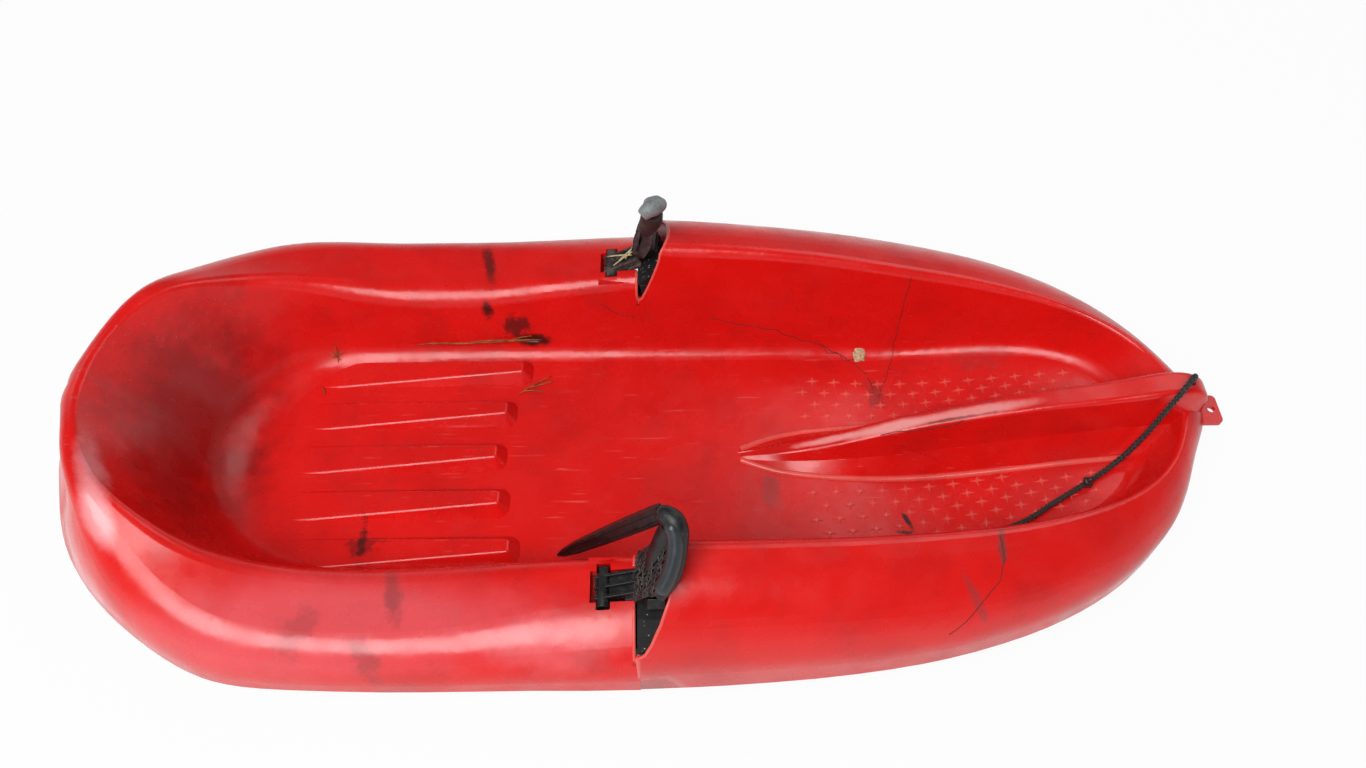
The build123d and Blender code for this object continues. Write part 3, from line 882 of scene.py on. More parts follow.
@dataclass
class TowLine:
    """Braided tow rope, in millimetres: from its stopper knot under the nose to a hank in the foot well."""

    diameter: float = 6.4
    strands: int = 8                   # half of them wind each way
    strand: float = 0.8                # radius of one strand
    weave: float = 0.55                # how far a strand rises over the next
    pitch: float = 19.0                # length of one turn of a strand
    strand_step: float = 1.1           # between points of a strand
    core_step: float = 3.0             # between points of the core
    hank_at: Point = (182.0, -126.5, 21.7)
    lean: float = 60.0                 # degrees that the hank leans against the wall
    # one fold of a turn, as places along and across the hank, from its waist to its end
    fold: tuple[Plan, ...] = ((6, 10.8), (17.5, 12.2), (28.4, 15.5), (39.4, 18.9), (50.3, 15.15), (57, 5.8))
    layers: tuple[float, ...] = (-6.4, 0.0, 6.4)
    climb: tuple[float, ...] = (0.1, 0.35, 0.65, 0.9)      # how far a fold's end has risen to the next layer
    # the rope's end: along and across the hank, and over its last layer
    tail: tuple[Point, ...] = ((6, -10.8, 0), (17, -13.5, -0.5), (27, -18, -3))
    knot_at: Point = (453, -67, 47.5)
    stopper_at: Point = (548, 0, 103)
    knot_strand: float = 2.5           # radius of the rope where it is pulled into a knot
    knot_spread: float = 1.25          # size of the knot's loops
    wraps: tuple[float, ...] = (-4.8, -1.6, 1.6, 4.8)      # where the tie goes round the hank's waist
    wrap_radius: float = 1.5
    waist: Plan = (15.2, 11.0)         # half the waist's width and depth, to the middle of the tie
    # route from the nose to the hank, heights from the flat floor
    route: tuple[Point, ...] = (
        (548, 0, 106), (548, 0, 122), (548, 0, 134), (542, -6.1, 142.7), (533.4, -14.9, 142.7),
        (527.4, -21, 134), (519.6, -26, 116), (511, -32, 89), (499, -40, 71),
        (487, -47, 56), (468, -58, 48), (453, -67, 47.5), (435, -76, 41.5), (414, -86, 35), (387, -102, 28.8),
        (350, -110, 19), (305, -116, 9.8), (262, -119.5, 5), (238, -121.5, 3.9),
    )

    def build(self) -> None:
        line = self._spline()
        seed = line_mesh("tow_line", line)
        values = {"Strand": self.strand * MM, "Lay": (self.diameter / 2 - self.strand - self.weave) * MM,
                  "Weave": self.weave * MM, "Pitch": self.pitch * MM, "Material": Finish.ROPE.material()}
        rope = grow("tow_line", seed, self._braid_tree(), values)
        knots = [self._knot("line_knot", on_floor(self.knot_at), (0.9, 0.5, 0), 1.0, "rope_knot"),
                 self._knot("nose_knot", on_floor(self.stopper_at), (0, 0, 0.4), 1.0, "stopper_knot"),
                 self._knot("end_knot", line[-1], (0.5, 0.7, 0.2), 0.85, None)]
        tie = self._tie()
        rides(rope, SLED)
        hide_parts("tow_rope", "rope_hank")

    def _in_hank(self, along: float, across: float, layer: float) -> Point:
        """A point of the hank.

        Args:
            along: its place along the hank.
            across: its place down the hank's slope.
            layer: its place through the hank.

        Returns:
            The point, its height from the flat floor.
        """
        x, y, z = self.hank_at
        lean = math.radians(self.lean)
        return (x + along, y + across * math.cos(lean) + layer * math.sin(lean),
                z - across * math.sin(lean) + layer * math.cos(lean))

    def _turns(self) -> list[Point]:
        """The hank's turns, drawn in under the tie, and the rope's end above them.

        Returns:
            Control points, their heights from the flat floor.
        """
        fold = self.fold
        points = [(*fold[2], self.layers[0]), (*fold[1], self.layers[0])]
        for number, layer in enumerate(self.layers):
            points.append((*fold[0], layer))
            points += [(-along, across, layer) for along, across in fold]
            points += [(-along, -across, layer) for along, across in reversed(fold)]
            if number < len(self.layers) - 1:
                rise = self.layers[number + 1] - layer
                points += [(along, -across, layer) for along, across in fold[:4]]
                end = zip((*fold[4:], *fold[:3:-1]), (-1, -1, 1, 1), self.climb)
                points += [(along, side * across, layer + rise * share)
                           for (along, across), side, share in end]
                points += [(along, across, layer + rise) for along, across in fold[3:0:-1]]
        points += [(along, across, self.layers[-1] + over) for along, across, over in self.tail]
        return [self._in_hank(*point) for point in points]

    def _spline(self) -> list[Vector]:
        """The rope's own smooth line.

        Returns:
            Points along it, in metres.
        """
        curve = bpy.data.curves.new("rope_route", "CURVE")
        curve.dimensions, curve.resolution_u = "3D", 6
        spline = curve.splines.new("NURBS")
        points = [on_floor(point) for point in (*self.route, *self._turns())]
        spline.points.add(len(points) - 1)
        for place, point in zip(spline.points, points):
            place.co = (*point, 1.0)
        spline.order_u, spline.use_endpoint_u = 3, True
        guide = new_piece("rope_route", curve)
        bpy.context.view_layer.update()
        depsgraph = bpy.context.evaluated_depsgraph_get()
        mesh = bpy.data.meshes.new_from_object(guide.evaluated_get(depsgraph), depsgraph=depsgraph)
        line = [vertex.co.copy() for vertex in mesh.vertices]
        bpy.data.objects.remove(guide)
        return line

    def _braid_tree(self) -> bpy.types.NodeTree:
        """Strands that wind both ways round the rope's line and pass over and under each other.

        Returns:
            The tree.
        """
        tree, group_in, group_out = geometry_tree("braid", [
            ("Strand", "NodeSocketFloat"), ("Lay", "NodeSocketFloat"), ("Weave", "NodeSocketFloat"),
            ("Pitch", "NodeSocketFloat"), ("Material", "NodeSocketMaterial")])
        line = add_node(tree, "GeometryNodeMeshToCurve", {"Mesh": group_in.outputs["Geometry"]})
        even = add_node(tree, "GeometryNodeResampleCurve",
                        {"Curve": line.outputs[0], "Length": self.strand_step * MM}, mode="LENGTH")
        strands = add_node(tree, "GeometryNodeDuplicateElements",
                           {"Geometry": even.outputs[0], "Amount": self.strands}, domain="SPLINE")
        each_way = self.strands / 2
        sums = {"number": strands.outputs["Duplicate Index"],
                "run": add_node(tree, "GeometryNodeSplineParameter").outputs["Length"],
                **{label.lower(): group_in.outputs[label] for label in ("Pitch", "Weave", "Lay")}}
        # each sum's name, its operation and what it takes: earlier sums by name, or plain numbers
        for label, operation, first, second in (
                ("odd", "MODULO", "number", 2.0), ("doubled", "MULTIPLY", "odd", 2.0),
                ("way", "SUBTRACT", "doubled", 1.0),
                ("halved", "DIVIDE", "number", 2.0), ("pair", "FLOOR", "halved", 0.0),
                ("phase", "MULTIPLY", "pair", 2 * math.pi / each_way),
                ("turns", "DIVIDE", "run", "pitch"), ("turn", "MULTIPLY", "turns", 2 * math.pi),
                ("signed", "MULTIPLY", "turn", "way"), ("angle", "ADD", "signed", "phase"),
                ("beat", "MULTIPLY", "turn", each_way), ("wave", "COSINE", "beat", 0.0),
                ("over", "MULTIPLY", "wave", "way"), ("rise", "MULTIPLY", "over", "weave"),
                ("reach", "ADD", "lay", "rise"),
                ("cosine", "COSINE", "angle", 0.0), ("sine", "SINE", "angle", 0.0)):
            sums[label] = add_node(tree, "ShaderNodeMath",
                                   {0: sums.get(first, first), 1: sums.get(second, second)},
                                   operation=operation).outputs[0]
        normal = add_node(tree, "GeometryNodeInputNormal").outputs[0]
        tangent = add_node(tree, "GeometryNodeInputTangent").outputs[0]
        side = add_node(tree, "ShaderNodeVectorMath", {0: tangent, 1: normal}, operation="CROSS_PRODUCT")
        one = add_node(tree, "ShaderNodeVectorMath", {0: normal, "Scale": sums["cosine"]}, operation="SCALE")
        two = add_node(tree, "ShaderNodeVectorMath", {0: side.outputs[0], "Scale": sums["sine"]},
                       operation="SCALE")
        out = add_node(tree, "ShaderNodeVectorMath", {0: one.outputs[0], 1: two.outputs[0]}, operation="ADD")
        offset = add_node(tree, "ShaderNodeVectorMath", {0: out.outputs[0], "Scale": sums["reach"]},
                          operation="SCALE")
        wound = add_node(tree, "GeometryNodeSetPosition",
                         {"Geometry": strands.outputs[0], "Offset": offset.outputs[0]})
        section = add_node(tree, "GeometryNodeCurvePrimitiveCircle",
                           {"Resolution": 5, "Radius": group_in.outputs["Strand"]})
        braid = add_node(tree, "GeometryNodeCurveToMesh",
                         {"Curve": wound.outputs[0], "Profile Curve": section.outputs[0], "Fill Caps": True})
        core_section = add_node(tree, "GeometryNodeCurvePrimitiveCircle",
                                {"Resolution": 6, "Radius": group_in.outputs["Lay"]})
        sparse = add_node(tree, "GeometryNodeResampleCurve",
                          {"Curve": line.outputs[0], "Length": self.core_step * MM}, mode="LENGTH")
        core = add_node(tree, "GeometryNodeCurveToMesh",
                        {"Curve": sparse.outputs[0], "Profile Curve": core_section.outputs[0],
                         "Fill Caps": True})
        whole = add_node(tree, "GeometryNodeJoinGeometry", {0: braid.outputs[0]})
        tree.links.new(core.outputs[0], whole.inputs[0])
        close_tree(tree, group_in, group_out, whole.outputs[0])
        return tree

    def _knot(self, name: str, place: Vector, turn: Point, size: float, node: str | None) -> bpy.types.Object:
        """An overhand knot pulled tight.

        Args:
            name: the piece's name.
            place: its middle.
            turn: angles about X, Y and Z.
            size: against the knot in the line.
            node: the CAD node that it stands for, if any.

        Returns:
            The piece.
        """
        steps, bulges, swell = 96, 17, 0.10
        angles = [2 * math.pi * k / steps for k in range(steps)]
        loop = [Vector((math.sin(a) + 2 * math.sin(2 * a), math.cos(a) - 2 * math.cos(2 * a),
                        -1.1 * math.sin(3 * a))) for a in angles]
        strand = self.knot_strand * size * MM
        points = [point * self.knot_spread * size * MM for point in loop]
        radii = [strand * (1 + swell * math.sin(bulges * a)) for a in angles]
        mesh = join_meshes(name, [tube_mesh(points, radii, 10, closed=True)])
        shade_smooth(mesh)
        place_at = Matrix.Translation(place)
        for axis, angle in zip("XYZ", turn):
            place_at = place_at @ Matrix.Rotation(angle, 4, axis)
        mesh.transform(place_at)
        knot = new_piece(name, mesh)
        dress(knot, Finish.ROPE.material())
        rides(knot, SLED)
        if node:
            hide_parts(node)
        return knot

    def _tie(self) -> bpy.types.Object:
        """Wraps of thin cord round the hank's waist.

        Returns:
            The piece.
        """
        meshes = []
        steps, square = 40, 0.45        # a loop is the squarer, the smaller this power is
        for along in self.wraps:
            loop = []
            for k in range(steps):
                a = 2 * math.pi * k / steps
                across = math.copysign(abs(math.cos(a)) ** square, math.cos(a)) * self.waist[0]
                layer = math.copysign(abs(math.sin(a)) ** square, math.sin(a)) * self.waist[1]
                loop.append(on_floor(self._in_hank(along + 0.8 * math.sin(2 * a), across, layer)))
            meshes.append(tube_mesh(loop, [self.wrap_radius * MM] * steps, 8, closed=True))
        mesh = join_meshes("hank_wraps", meshes)
        shade_smooth(mesh)
        tie = new_piece("hank_wraps", mesh)
        dress(tie, Finish.ROPE.material())
        rides(tie, SLED)
        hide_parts("hank_tie")
        return tie


# ---------------------------------------------------------------- tub


@dataclass
class TubDressing:
    """The tub's own finish with its painted highlights, reflections and shade, its grip pattern, and what has
    dried on it.
    """

    tub: bpy.types.Object
    star_reach: float = 7.4            # middle of a star to its tip, mm
    star_waist: float = 2.1            # middle of a star to the hollow between two tips
    star_height: float = 1.7
    star_sunk: float = -0.5            # how far a star's foot goes into the floor
    first_star: float = 182.0          # where the rows start
    column: float = 24.3               # mm between stars of one row
    foot_radius: float = 3.4           # rounding where the hump meets the floor
    lip_radius: float = 1.5            # bead round a lever's slot
    slot: tuple[Plan, ...] = (
        (-1.5, 178), (-1.5, 157), (3, 157), (9, 160), (15, 163.5), (21.8, 168), (27.5, 177), (31.5, 190),
        (33, 203), (31.5, 214), (27.8, 225.6), (20.7, 240.8), (12.7, 252.6), (7.4, 257.3), (3, 258.5),
        (-1.5, 258.5), (-1.5, 213))
    # the fold that runs down the skirt below a slot: across and up, with its radius at each point
    fold: tuple[Plan, ...] = ((257, 97), (259.5, 91), (261.5, 84), (263, 75), (263.8, 65), (264, 54))
    fold_radii: tuple[float, ...] = (1.2, 2.4, 2.2, 1.6, 1.0, 0.4)
    hump_foot: tuple[Plan, ...] = (
        (108, 6), (126, 14), (150, 22.5), (205, 30), (260, 33), (320, 35), (380, 36), (440, 37), (495, 38))

    def build(self) -> None:
        """Dress the tub and lay everything on it."""
        # the red plastic, with stains and patches of painted highlight, reflection and shade
        red = MouldedPolyethylene(marks=self.marks()).build()
        # a paler copy of the red: painted highlight on the stars and on the beads round the slots, below them
        # and along the hump's foot, and partly rubbed wear
        highlight_pink = MouldedPolyethylene("moulded_polyethylene_rubbed", colour="ea5a52", deep="d83c36").build()
        dress(self.tub, red)
        log.info("tub_shell dressed")
        tree = self._star_tree()
        for name, side in (("grip_stars_right", -1), ("grip_stars_left", 1)):
            seed = bpy.data.meshes.new(name)
            seed.from_pydata(self._star_places(side), [], [])
            star = new_piece("star", self._star())
            stars = grow(name, seed, tree, {"Star": star, "Tub": self.tub, "Material": highlight_pink})
            bpy.data.objects.remove(star)
            rides(stars, SLED)
        self._beads(highlight_pink)
        self._threads()
        self._needles()
        self._mud()

    def _landed(self, points: Sequence[Plan], rise: float) -> list[Vector]:
        """Points on top of the tub, straight below or above the given plan points.

        Args:
            points: plan places in millimetres.
            rise: millimetres that they stand over the surface.

        Returns:
            Points in metres.
        """
        data = self.tub.data
        surface = BVHTree.FromPolygons([v.co for v in data.vertices], [p.vertices for p in data.polygons])
        landed = []
        for x, y in points:
            hit, normal, _, _ = surface.ray_cast(Vector((x * MM, y * MM, 0.3)), Vector((0, 0, -1)))
            if hit:
                landed.append(hit + normal * rise * MM)
        return landed

    def _beads(self, material: bpy.types.Material) -> None:
        """Rolled lips round the lever slots, the fold below each, and the rounded foot of the hump.

        Args:
            material: the paler polyethylene, a painted highlight that is partly rubbed wear.
        """
        meshes = []
        lip_step, lip_out, lip_sunk, foot_out = 3, 0.9, -0.5, 0.8
        for side in (-1, 1):
            ring = []
            for (xa, ya), (xb, yb) in zip(self.slot, self.slot[1:]):
                steps = max(1, round(math.hypot(xb - xa, yb - ya) / lip_step))
                out = Vector((yb - ya, xa - xb)).normalized() * lip_out
                ring += [(xa + (xb - xa) * k / steps + out.x, side * (ya + (yb - ya) * k / steps + out.y))
                         for k in range(steps)]
            lip = self._landed(ring, lip_sunk)
            meshes.append(tube_mesh(lip, [self.lip_radius * MM] * len(lip), 10))
            fold = [Vector((1.5, side * y, z)) * MM for y, z in self.fold]
            meshes.append(tube_mesh(fold, [r * MM for r in self.fold_radii], 12))
            foot = [(x, side * (y + foot_out)) for x, y in self.hump_foot]
            line = smooth_line([tuple(p / MM) for p in self._landed(foot, 0.0)], 6)
            meshes.append(tube_mesh(line, [self.foot_radius * MM] * len(line), 12))
        for name, mesh in zip(("slot_lip_right", "slot_fold_right", "hump_foot_right", "slot_lip_left",
                               "slot_fold_left", "hump_foot_left"), meshes):
            piece = new_piece(name, mesh)
            mesh.name = name
            dress(piece, material)
            rides(piece, SLED)

    def marks(self) -> tuple[Mark, ...]:
        """Stains, faded patches, and patches of painted highlight, reflection and shade.

        Returns:
            The marks, each with its place from the ground under the tub's middle.
        """
        # grey, black and brown are dirt; the fourth and sixth colours paint highlights, and the fifth is
        # partly faded plastic, partly painted reflection
        grey, black, brown, streak_highlight, fade_and_reflection, highlight_pink = "6b3a3a", "2a1512", "5a1d16", "f6b9bd", "f08089", "f7a8a4"
        return (
            # skirts and rear edge, partly faded pink and partly painted reflection and highlight, and painted
            # shade on the seat back
            Mark((-270, -222, 88), (250, 62, 60), 2, fade_and_reflection, 0.36, 0.2),
            # painted highlight on the right skirt, where the key lamp shines
            Mark((-75, -240, 85), (80, 34, 40), -3, "f48a92", 0.3, 0.4),
            # a painted highlight streak along the seat back's crest
            Mark((-483, -125, 150), (17, 95, 24), 22, streak_highlight, 0.6, 0.3),
            Mark((-588, 0, 92), (44, 190, 70), 0, fade_and_reflection, 0.5, 0.3),
            Mark((-520, -175, 80), (50, 90, 50), 35, fade_and_reflection, 0.5, 0.3),
            # painted shade on the seat back's inner face, which faces away from the lamps
            Mark((-440, 10, 80), (110, 170, 110), 0, "7a0606", 0.75, 0.5),
            # black dirt behind the left lever and at the seat's right side
            Mark((-167, 205, 92), (9, 42, 12), 8, black, 0.75, 0.8),
            Mark((-168, 157, 70), (8, 9, 18), 0, black, 0.9, 0.5),
            Mark((-138, 150, 50), (20, 9, 26), 0, "3a1818", 0.8, 0.9),
            Mark((-120, 144, 31), (26, 10, 11), 0, black, 0.95, 0.6),
            Mark((-281, -95, 16), (6, 34, 9), 5, black, 0.8, 1.1),
            Mark((-278, -104, 16), (24, 14, 12), 20, black, 0.5, 1.3),
            # smears on the right deck and skirt, and in the foot wells
            Mark((-222, -190, 90), (11, 46, 14), 12, grey, 0.5, 0.8),
            Mark((-240, -245, 72), (18, 26, 30), 30, grey, 0.42, 0.9),
            Mark((-300, -228, 90), (20, 34, 20), -25, grey, 0.3, 0.9),
            Mark((138, -46, 12), (14, 30, 9), 4, grey, 0.42, 0.6),
            Mark((262, 75, 13), (14, 26, 10), 10, brown, 0.5, 1.0),
            Mark((276, -84, 14), (3.2, 17, 5), 22, black, 0.95, 0.7),
            Mark((272, -97, 13.5), (13, 3.0, 5), -8, black, 0.9, 0.9),
            Mark((330, -170, 122), (5, 26, 12), -4, grey, 0.7, 0.8),
            Mark((303, -215, 104), (6, 40, 26), 32, grey, 0.4, 0.9),
            # painted highlight along the hump's ridge, with dirt on its flanks and in the left foot well
            Mark((262, -1.5, 64), (66, 9, 16), 0, highlight_pink, 0.85, 0.3, 22),
            Mark((200, 0, 39), (48, 5.5, 10), 0, highlight_pink, 0.75, 0.3, 20),
            Mark((345, -2, 94), (78, 9, 18), 0, highlight_pink, 0.7, 0.3, 16),
            Mark((330, -7, 88), (70, 3, 8), 0, brown, 0.6, 1.3, 17),
            Mark((300, 12, 82), (120, 8, 22), 0, grey, 0.28, 1.1, 15.5),
            Mark((370, 110, 40), (70, 20, 20), 0, grey, 0.25, 1.1),
            # round the right lever, and where the rope lies
            Mark((-40, -255, 82), (24, 18, 20), 10, grey, 0.2, 1.0),
            Mark((-33, -216, 100), (24, 13, 9), 0, "a8524a", 0.25, 1.0),
            Mark((430, -60, 52), (110, 60, 30), 20, "c22a2a", 0.35, 0.6),
        )

    def _star_places(self, side: int) -> list[Point]:
        """Where the stars of one foot well stand, in rows that draw together towards the nose.

        Args:
            side: -1 for the right foot well, 1 for the left.

        Returns:
            Points above the floor, in metres.
        """
        places = []
        rows, columns = (7 if side < 0 else 6), 12
        above = 0.12                    # metres, over the wells' highest floor
        for row in range(rows):
            for number in range(columns):
                x = self.first_star + self.column * (number + 0.5 * (row % 2))
                run = x - self.first_star
                y = 48.5 - 0.018 * run + (row - 2) * (16.2 - 0.022 * run)
                hump = 5 + 0.32 * (x - 102) if x < 200 else 34 + 0.015 * (x - 200)
                wall = 112 - 0.11 * max(run - 60, 0)
                if hump + 8 < y < wall:
                    places.append((x * MM, side * y * MM, above))
        return places

    def _star(self) -> bpy.types.Mesh:
        """One raised four-pointed star with hollow sides.

        Returns:
            The closed star, standing on the origin.
        """
        work = bmesh.new()
        rings = []
        corners, squat = 8, 0.9
        for spread, height in ((1.25, self.star_sunk), (1.0, 0.15), (0.55, self.star_height)):
            ring = []
            for k in range(corners):
                reach = (self.star_waist if k % 2 else self.star_reach) * spread
                a = math.pi * k / 4
                corner = (reach * math.cos(a) * MM, squat * reach * math.sin(a) * MM, height * MM)
                ring.append(work.verts.new(corner))
            rings.append(ring)
        skin_rings(work, rings)
        for ring, height in ((rings[0], self.star_sunk), (rings[-1], self.star_height)):
            middle = work.verts.new((0, 0, height * MM))
            for k in range(corners):
                work.faces.new((ring[k], ring[(k + 1) % corners], middle))
        return closed_mesh(work, "star")

    def _star_tree(self) -> bpy.types.NodeTree:
        """Stars dropped onto the tub, each square to the floor where it lands.

        Returns:
            The tree.
        """
        tree, group_in, group_out = geometry_tree("stars", [
            ("Star", "NodeSocketObject"), ("Tub", "NodeSocketObject"), ("Material", "NodeSocketMaterial")])
        tub = add_node(tree, "GeometryNodeObjectInfo", {"Object": group_in.outputs["Tub"]})
        star = add_node(tree, "GeometryNodeObjectInfo", {"Object": group_in.outputs["Star"]})
        points = add_node(tree, "GeometryNodeMeshToPoints", {"Mesh": group_in.outputs["Geometry"]})
        drop = add_node(tree, "GeometryNodeRaycast",
                        {"Target Geometry": tub.outputs["Geometry"], "Ray Direction": (0, 0, -1),
                         "Ray Length": 1.0})
        upright = add_node(tree, "FunctionNodeAlignRotationToVector", {"Vector": drop.outputs["Hit Normal"]},
                           axis="Z")
        landed = add_node(tree, "GeometryNodeSetPosition",
                          {"Geometry": points.outputs[0], "Position": drop.outputs["Hit Position"]})
        stood = add_node(tree, "GeometryNodeCaptureAttribute", {"Geometry": points.outputs[0]})
        stood.capture_items.new("ROTATION", "Upright")
        tree.links.new(upright.outputs[0], stood.inputs[1])
        tree.links.new(stood.outputs[0], landed.inputs["Geometry"])
        placed = add_node(tree, "GeometryNodeInstanceOnPoints",
                          {"Points": landed.outputs[0], "Instance": star.outputs["Geometry"],
                           "Rotation": stood.outputs[1]})
        close_tree(tree, group_in, group_out, placed.outputs[0], smooth=False)
        return tree

    def _thread_tree(self) -> bpy.types.NodeTree:
        """A thin thread that wanders over the tub's surface.

        Returns:
            The tree.
        """
        tree, group_in, group_out = geometry_tree("threads", [
            ("Tub", "NodeSocketObject"), ("Thickness", "NodeSocketFloat"), ("Wander", "NodeSocketFloat"),
            ("Seed", "NodeSocketFloat"), ("Material", "NodeSocketMaterial")])
        tub = add_node(tree, "GeometryNodeObjectInfo", {"Object": group_in.outputs["Tub"]})
        line = add_node(tree, "GeometryNodeMeshToCurve", {"Mesh": group_in.outputs["Geometry"]})
        step, bend = 1.5, 16            # mm between points, and from one bend to the next
        fine = add_node(tree, "GeometryNodeResampleCurve", {"Curve": line.outputs[0], "Length": step * MM},
                        mode="LENGTH")
        here = add_node(tree, "GeometryNodeInputPosition").outputs[0]
        drift = add_node(tree, "ShaderNodeTexNoise",
                         {"Vector": here, "W": group_in.outputs["Seed"], "Scale": 1000 / bend, "Detail": 3.0},
                         noise_dimensions="4D")
        centred = add_node(tree, "ShaderNodeVectorMath", {0: drift.outputs["Color"], 1: (0.5, 0.5, 0.5)},
                           operation="SUBTRACT")
        shift = add_node(tree, "ShaderNodeVectorMath",
                         {0: centred.outputs[0], "Scale": group_in.outputs["Wander"]}, operation="SCALE")
        loose = add_node(tree, "GeometryNodeSetPosition",
                         {"Geometry": fine.outputs[0], "Offset": shift.outputs[0]})
        near = add_node(tree, "GeometryNodeProximity", {"Geometry": tub.outputs["Geometry"]})
        laid = add_node(tree, "GeometryNodeSetPosition",
                        {"Geometry": loose.outputs[0], "Position": near.outputs["Position"]})
        section = add_node(tree, "GeometryNodeCurvePrimitiveCircle",
                           {"Resolution": 5, "Radius": group_in.outputs["Thickness"]})
        tube = add_node(tree, "GeometryNodeCurveToMesh",
                        {"Curve": laid.outputs[0], "Profile Curve": section.outputs[0], "Fill Caps": True})
        close_tree(tree, group_in, group_out, tube.outputs[0])
        return tree

    def _threads(self) -> None:
        """Roots and hair-thin stalks stuck to the walls and floor."""
        tree = self._thread_tree()
        threads = {                     # radius, how far it wanders, and its points
            "root_thread": (0.45, 9, [
                (79, 150, 60), (118, 148, 50), (153, 146, 43), (182, 142, 29), (208, 140, 23),
                (234, 128, 13), (250, 114, 12), (258, 104, 12), (260, 83, 12.7)]),
            "root_curl": (0.4, 10, [
                (207, 140, 26), (214, 133, 17), (226, 134, 16), (232, 124, 13), (244, 126, 13)]),
            "wall_stalk": (0.4, 5, [
                (304, 168, 124), (295, 155, 122), (292, 148, 91), (290, 140, 49), (289, 128, 18),
                (276, 96, 14), (265, 72, 13)]),
            "skirt_stalk": (0.4, 5, [
                (329, -160, 125), (331, -182, 120), (325, -199, 113), (310, -214, 105),
                (292, -230, 94), (279, -238, 85)]),
            "deck_hair": (0.4, 6, [(-43, 157, 77), (-24, 154, 65), (-5, 152, 60)]),
            "ridge_scrape": (0.45, 4, [
                (250, -9, 60), (270, -8, 67), (285, -12, 70), (300, -11, 76), (318, -14, 80), (330, -9, 87)]),
        }
        for number, (name, (thickness, wander, points)) in enumerate(threads.items()):
            seed = line_mesh(name, [Vector(point) * MM for point in points])
            values = {"Tub": self.tub, "Thickness": thickness * MM, "Wander": wander * MM,
                      "Seed": 3.7 * number, "Material": Finish.ROOT.material()}
            piece = grow(name, seed, tree, values)
            rides(piece, SLED)

    def _needles(self) -> None:
        """Dry pine needles in the flute and on the floor."""
        needles = [((-256, 142, 27), (-205, 139, 33)), ((-240, 143, 27), (-186, 141, 31)),
                   ((-216, 142, 28), (-150, 141, 34)), ((-200, 144, 27), (-142, 143, 33)),
                   ((-178, 142, 29), (-118, 142, 36)), ((-165, 144, 28), (-110, 145, 32)),
                   ((-150, 143, 30), (-122, 146, 37)), ((-136, 82, 13), (-100, 106, 14.5)),
                   ((-128, 90, 13), (-98, 98, 15)), ((-132, 86, 13), (-108, 84, 14)),
                   ((-352, 134, 27), (-338, 128, 19)), ((-350, 128, 21), (-334, 134, 28)),
                   ((-356, 96, 13), (-351, 84, 13)), ((-343, 137, 33), (-341, 126, 17))]
        meshes = []
        for number, (start, end) in enumerate(needles):
            a, b = Vector(start) * MM, Vector(end) * MM
            aside = (b - a).cross(Vector((0, 0, 1))).normalized()
            bow = Vector((0, 0, 1.2 * MM)) + aside * (number % 3 - 1) * MM
            line = [a.lerp(b, t / 8) + bow * math.sin(math.pi * t / 8) for t in range(9)]
            meshes.append(tube_mesh(line, [0.65 * MM * (1 - 0.5 * abs(t / 4 - 1) ** 3) for t in range(9)], 6))
        mesh = join_meshes("pine_needles", meshes)
        piece = new_piece("pine_needles", mesh)
        shade_smooth(mesh)
        dress(piece, Finish.NEEDLE.material())
        rides(piece, SLED)

    def _mud(self) -> None:
        """A lump of dried mud on the corner of the floor."""
        halves, middle, slope = (7.5, 8.5, 2.6), (251.5, 130.5, 15.5), 30
        work = bmesh.new()
        bmesh.ops.create_icosphere(work, subdivisions=4, radius=1.0)
        for vertex in work.verts:
            swell = 1 + 0.35 * noise.noise(vertex.co * 1.6) + 0.16 * noise.noise(vertex.co * 5)
            vertex.co = Vector([c * half for c, half in zip(vertex.co, halves)]) * swell * MM
        mesh = bpy.data.meshes.new("mud_lump")
        work.to_mesh(mesh)
        work.free()
        tilt = Matrix.Rotation(math.radians(slope), 4, "X")
        mesh.transform(Matrix.Translation(Vector(middle) * MM) @ tilt)
        shade_smooth(mesh)
        piece = new_piece("mud_lump", mesh)
        dress(piece, Finish.MUD.material())
        rides(piece, SLED)


# ---------------------------------------------------------------- brake levers


class Side(Enum):
    """Which lever: its body, how far it rests above its stop and whether it kept its hand bar."""

    RIGHT = (RIGHT, "brake_lever_right", 0.0, True)
    LEFT = (LEFT, "brake_lever_left", 9.0, False)

    @property
    def body(self) -> str:
        """The body that carries it."""
        return self.value[0]

    @property
    def node(self) -> str:
        """Its CAD node."""
        return self.value[1]

    @property
    def lift(self) -> float:
        """Degrees above its lower stop at rest."""
        return self.value[2]

    @property
    def whole(self) -> bool:
        """Whether it still has its hand bar."""
        return self.value[3]


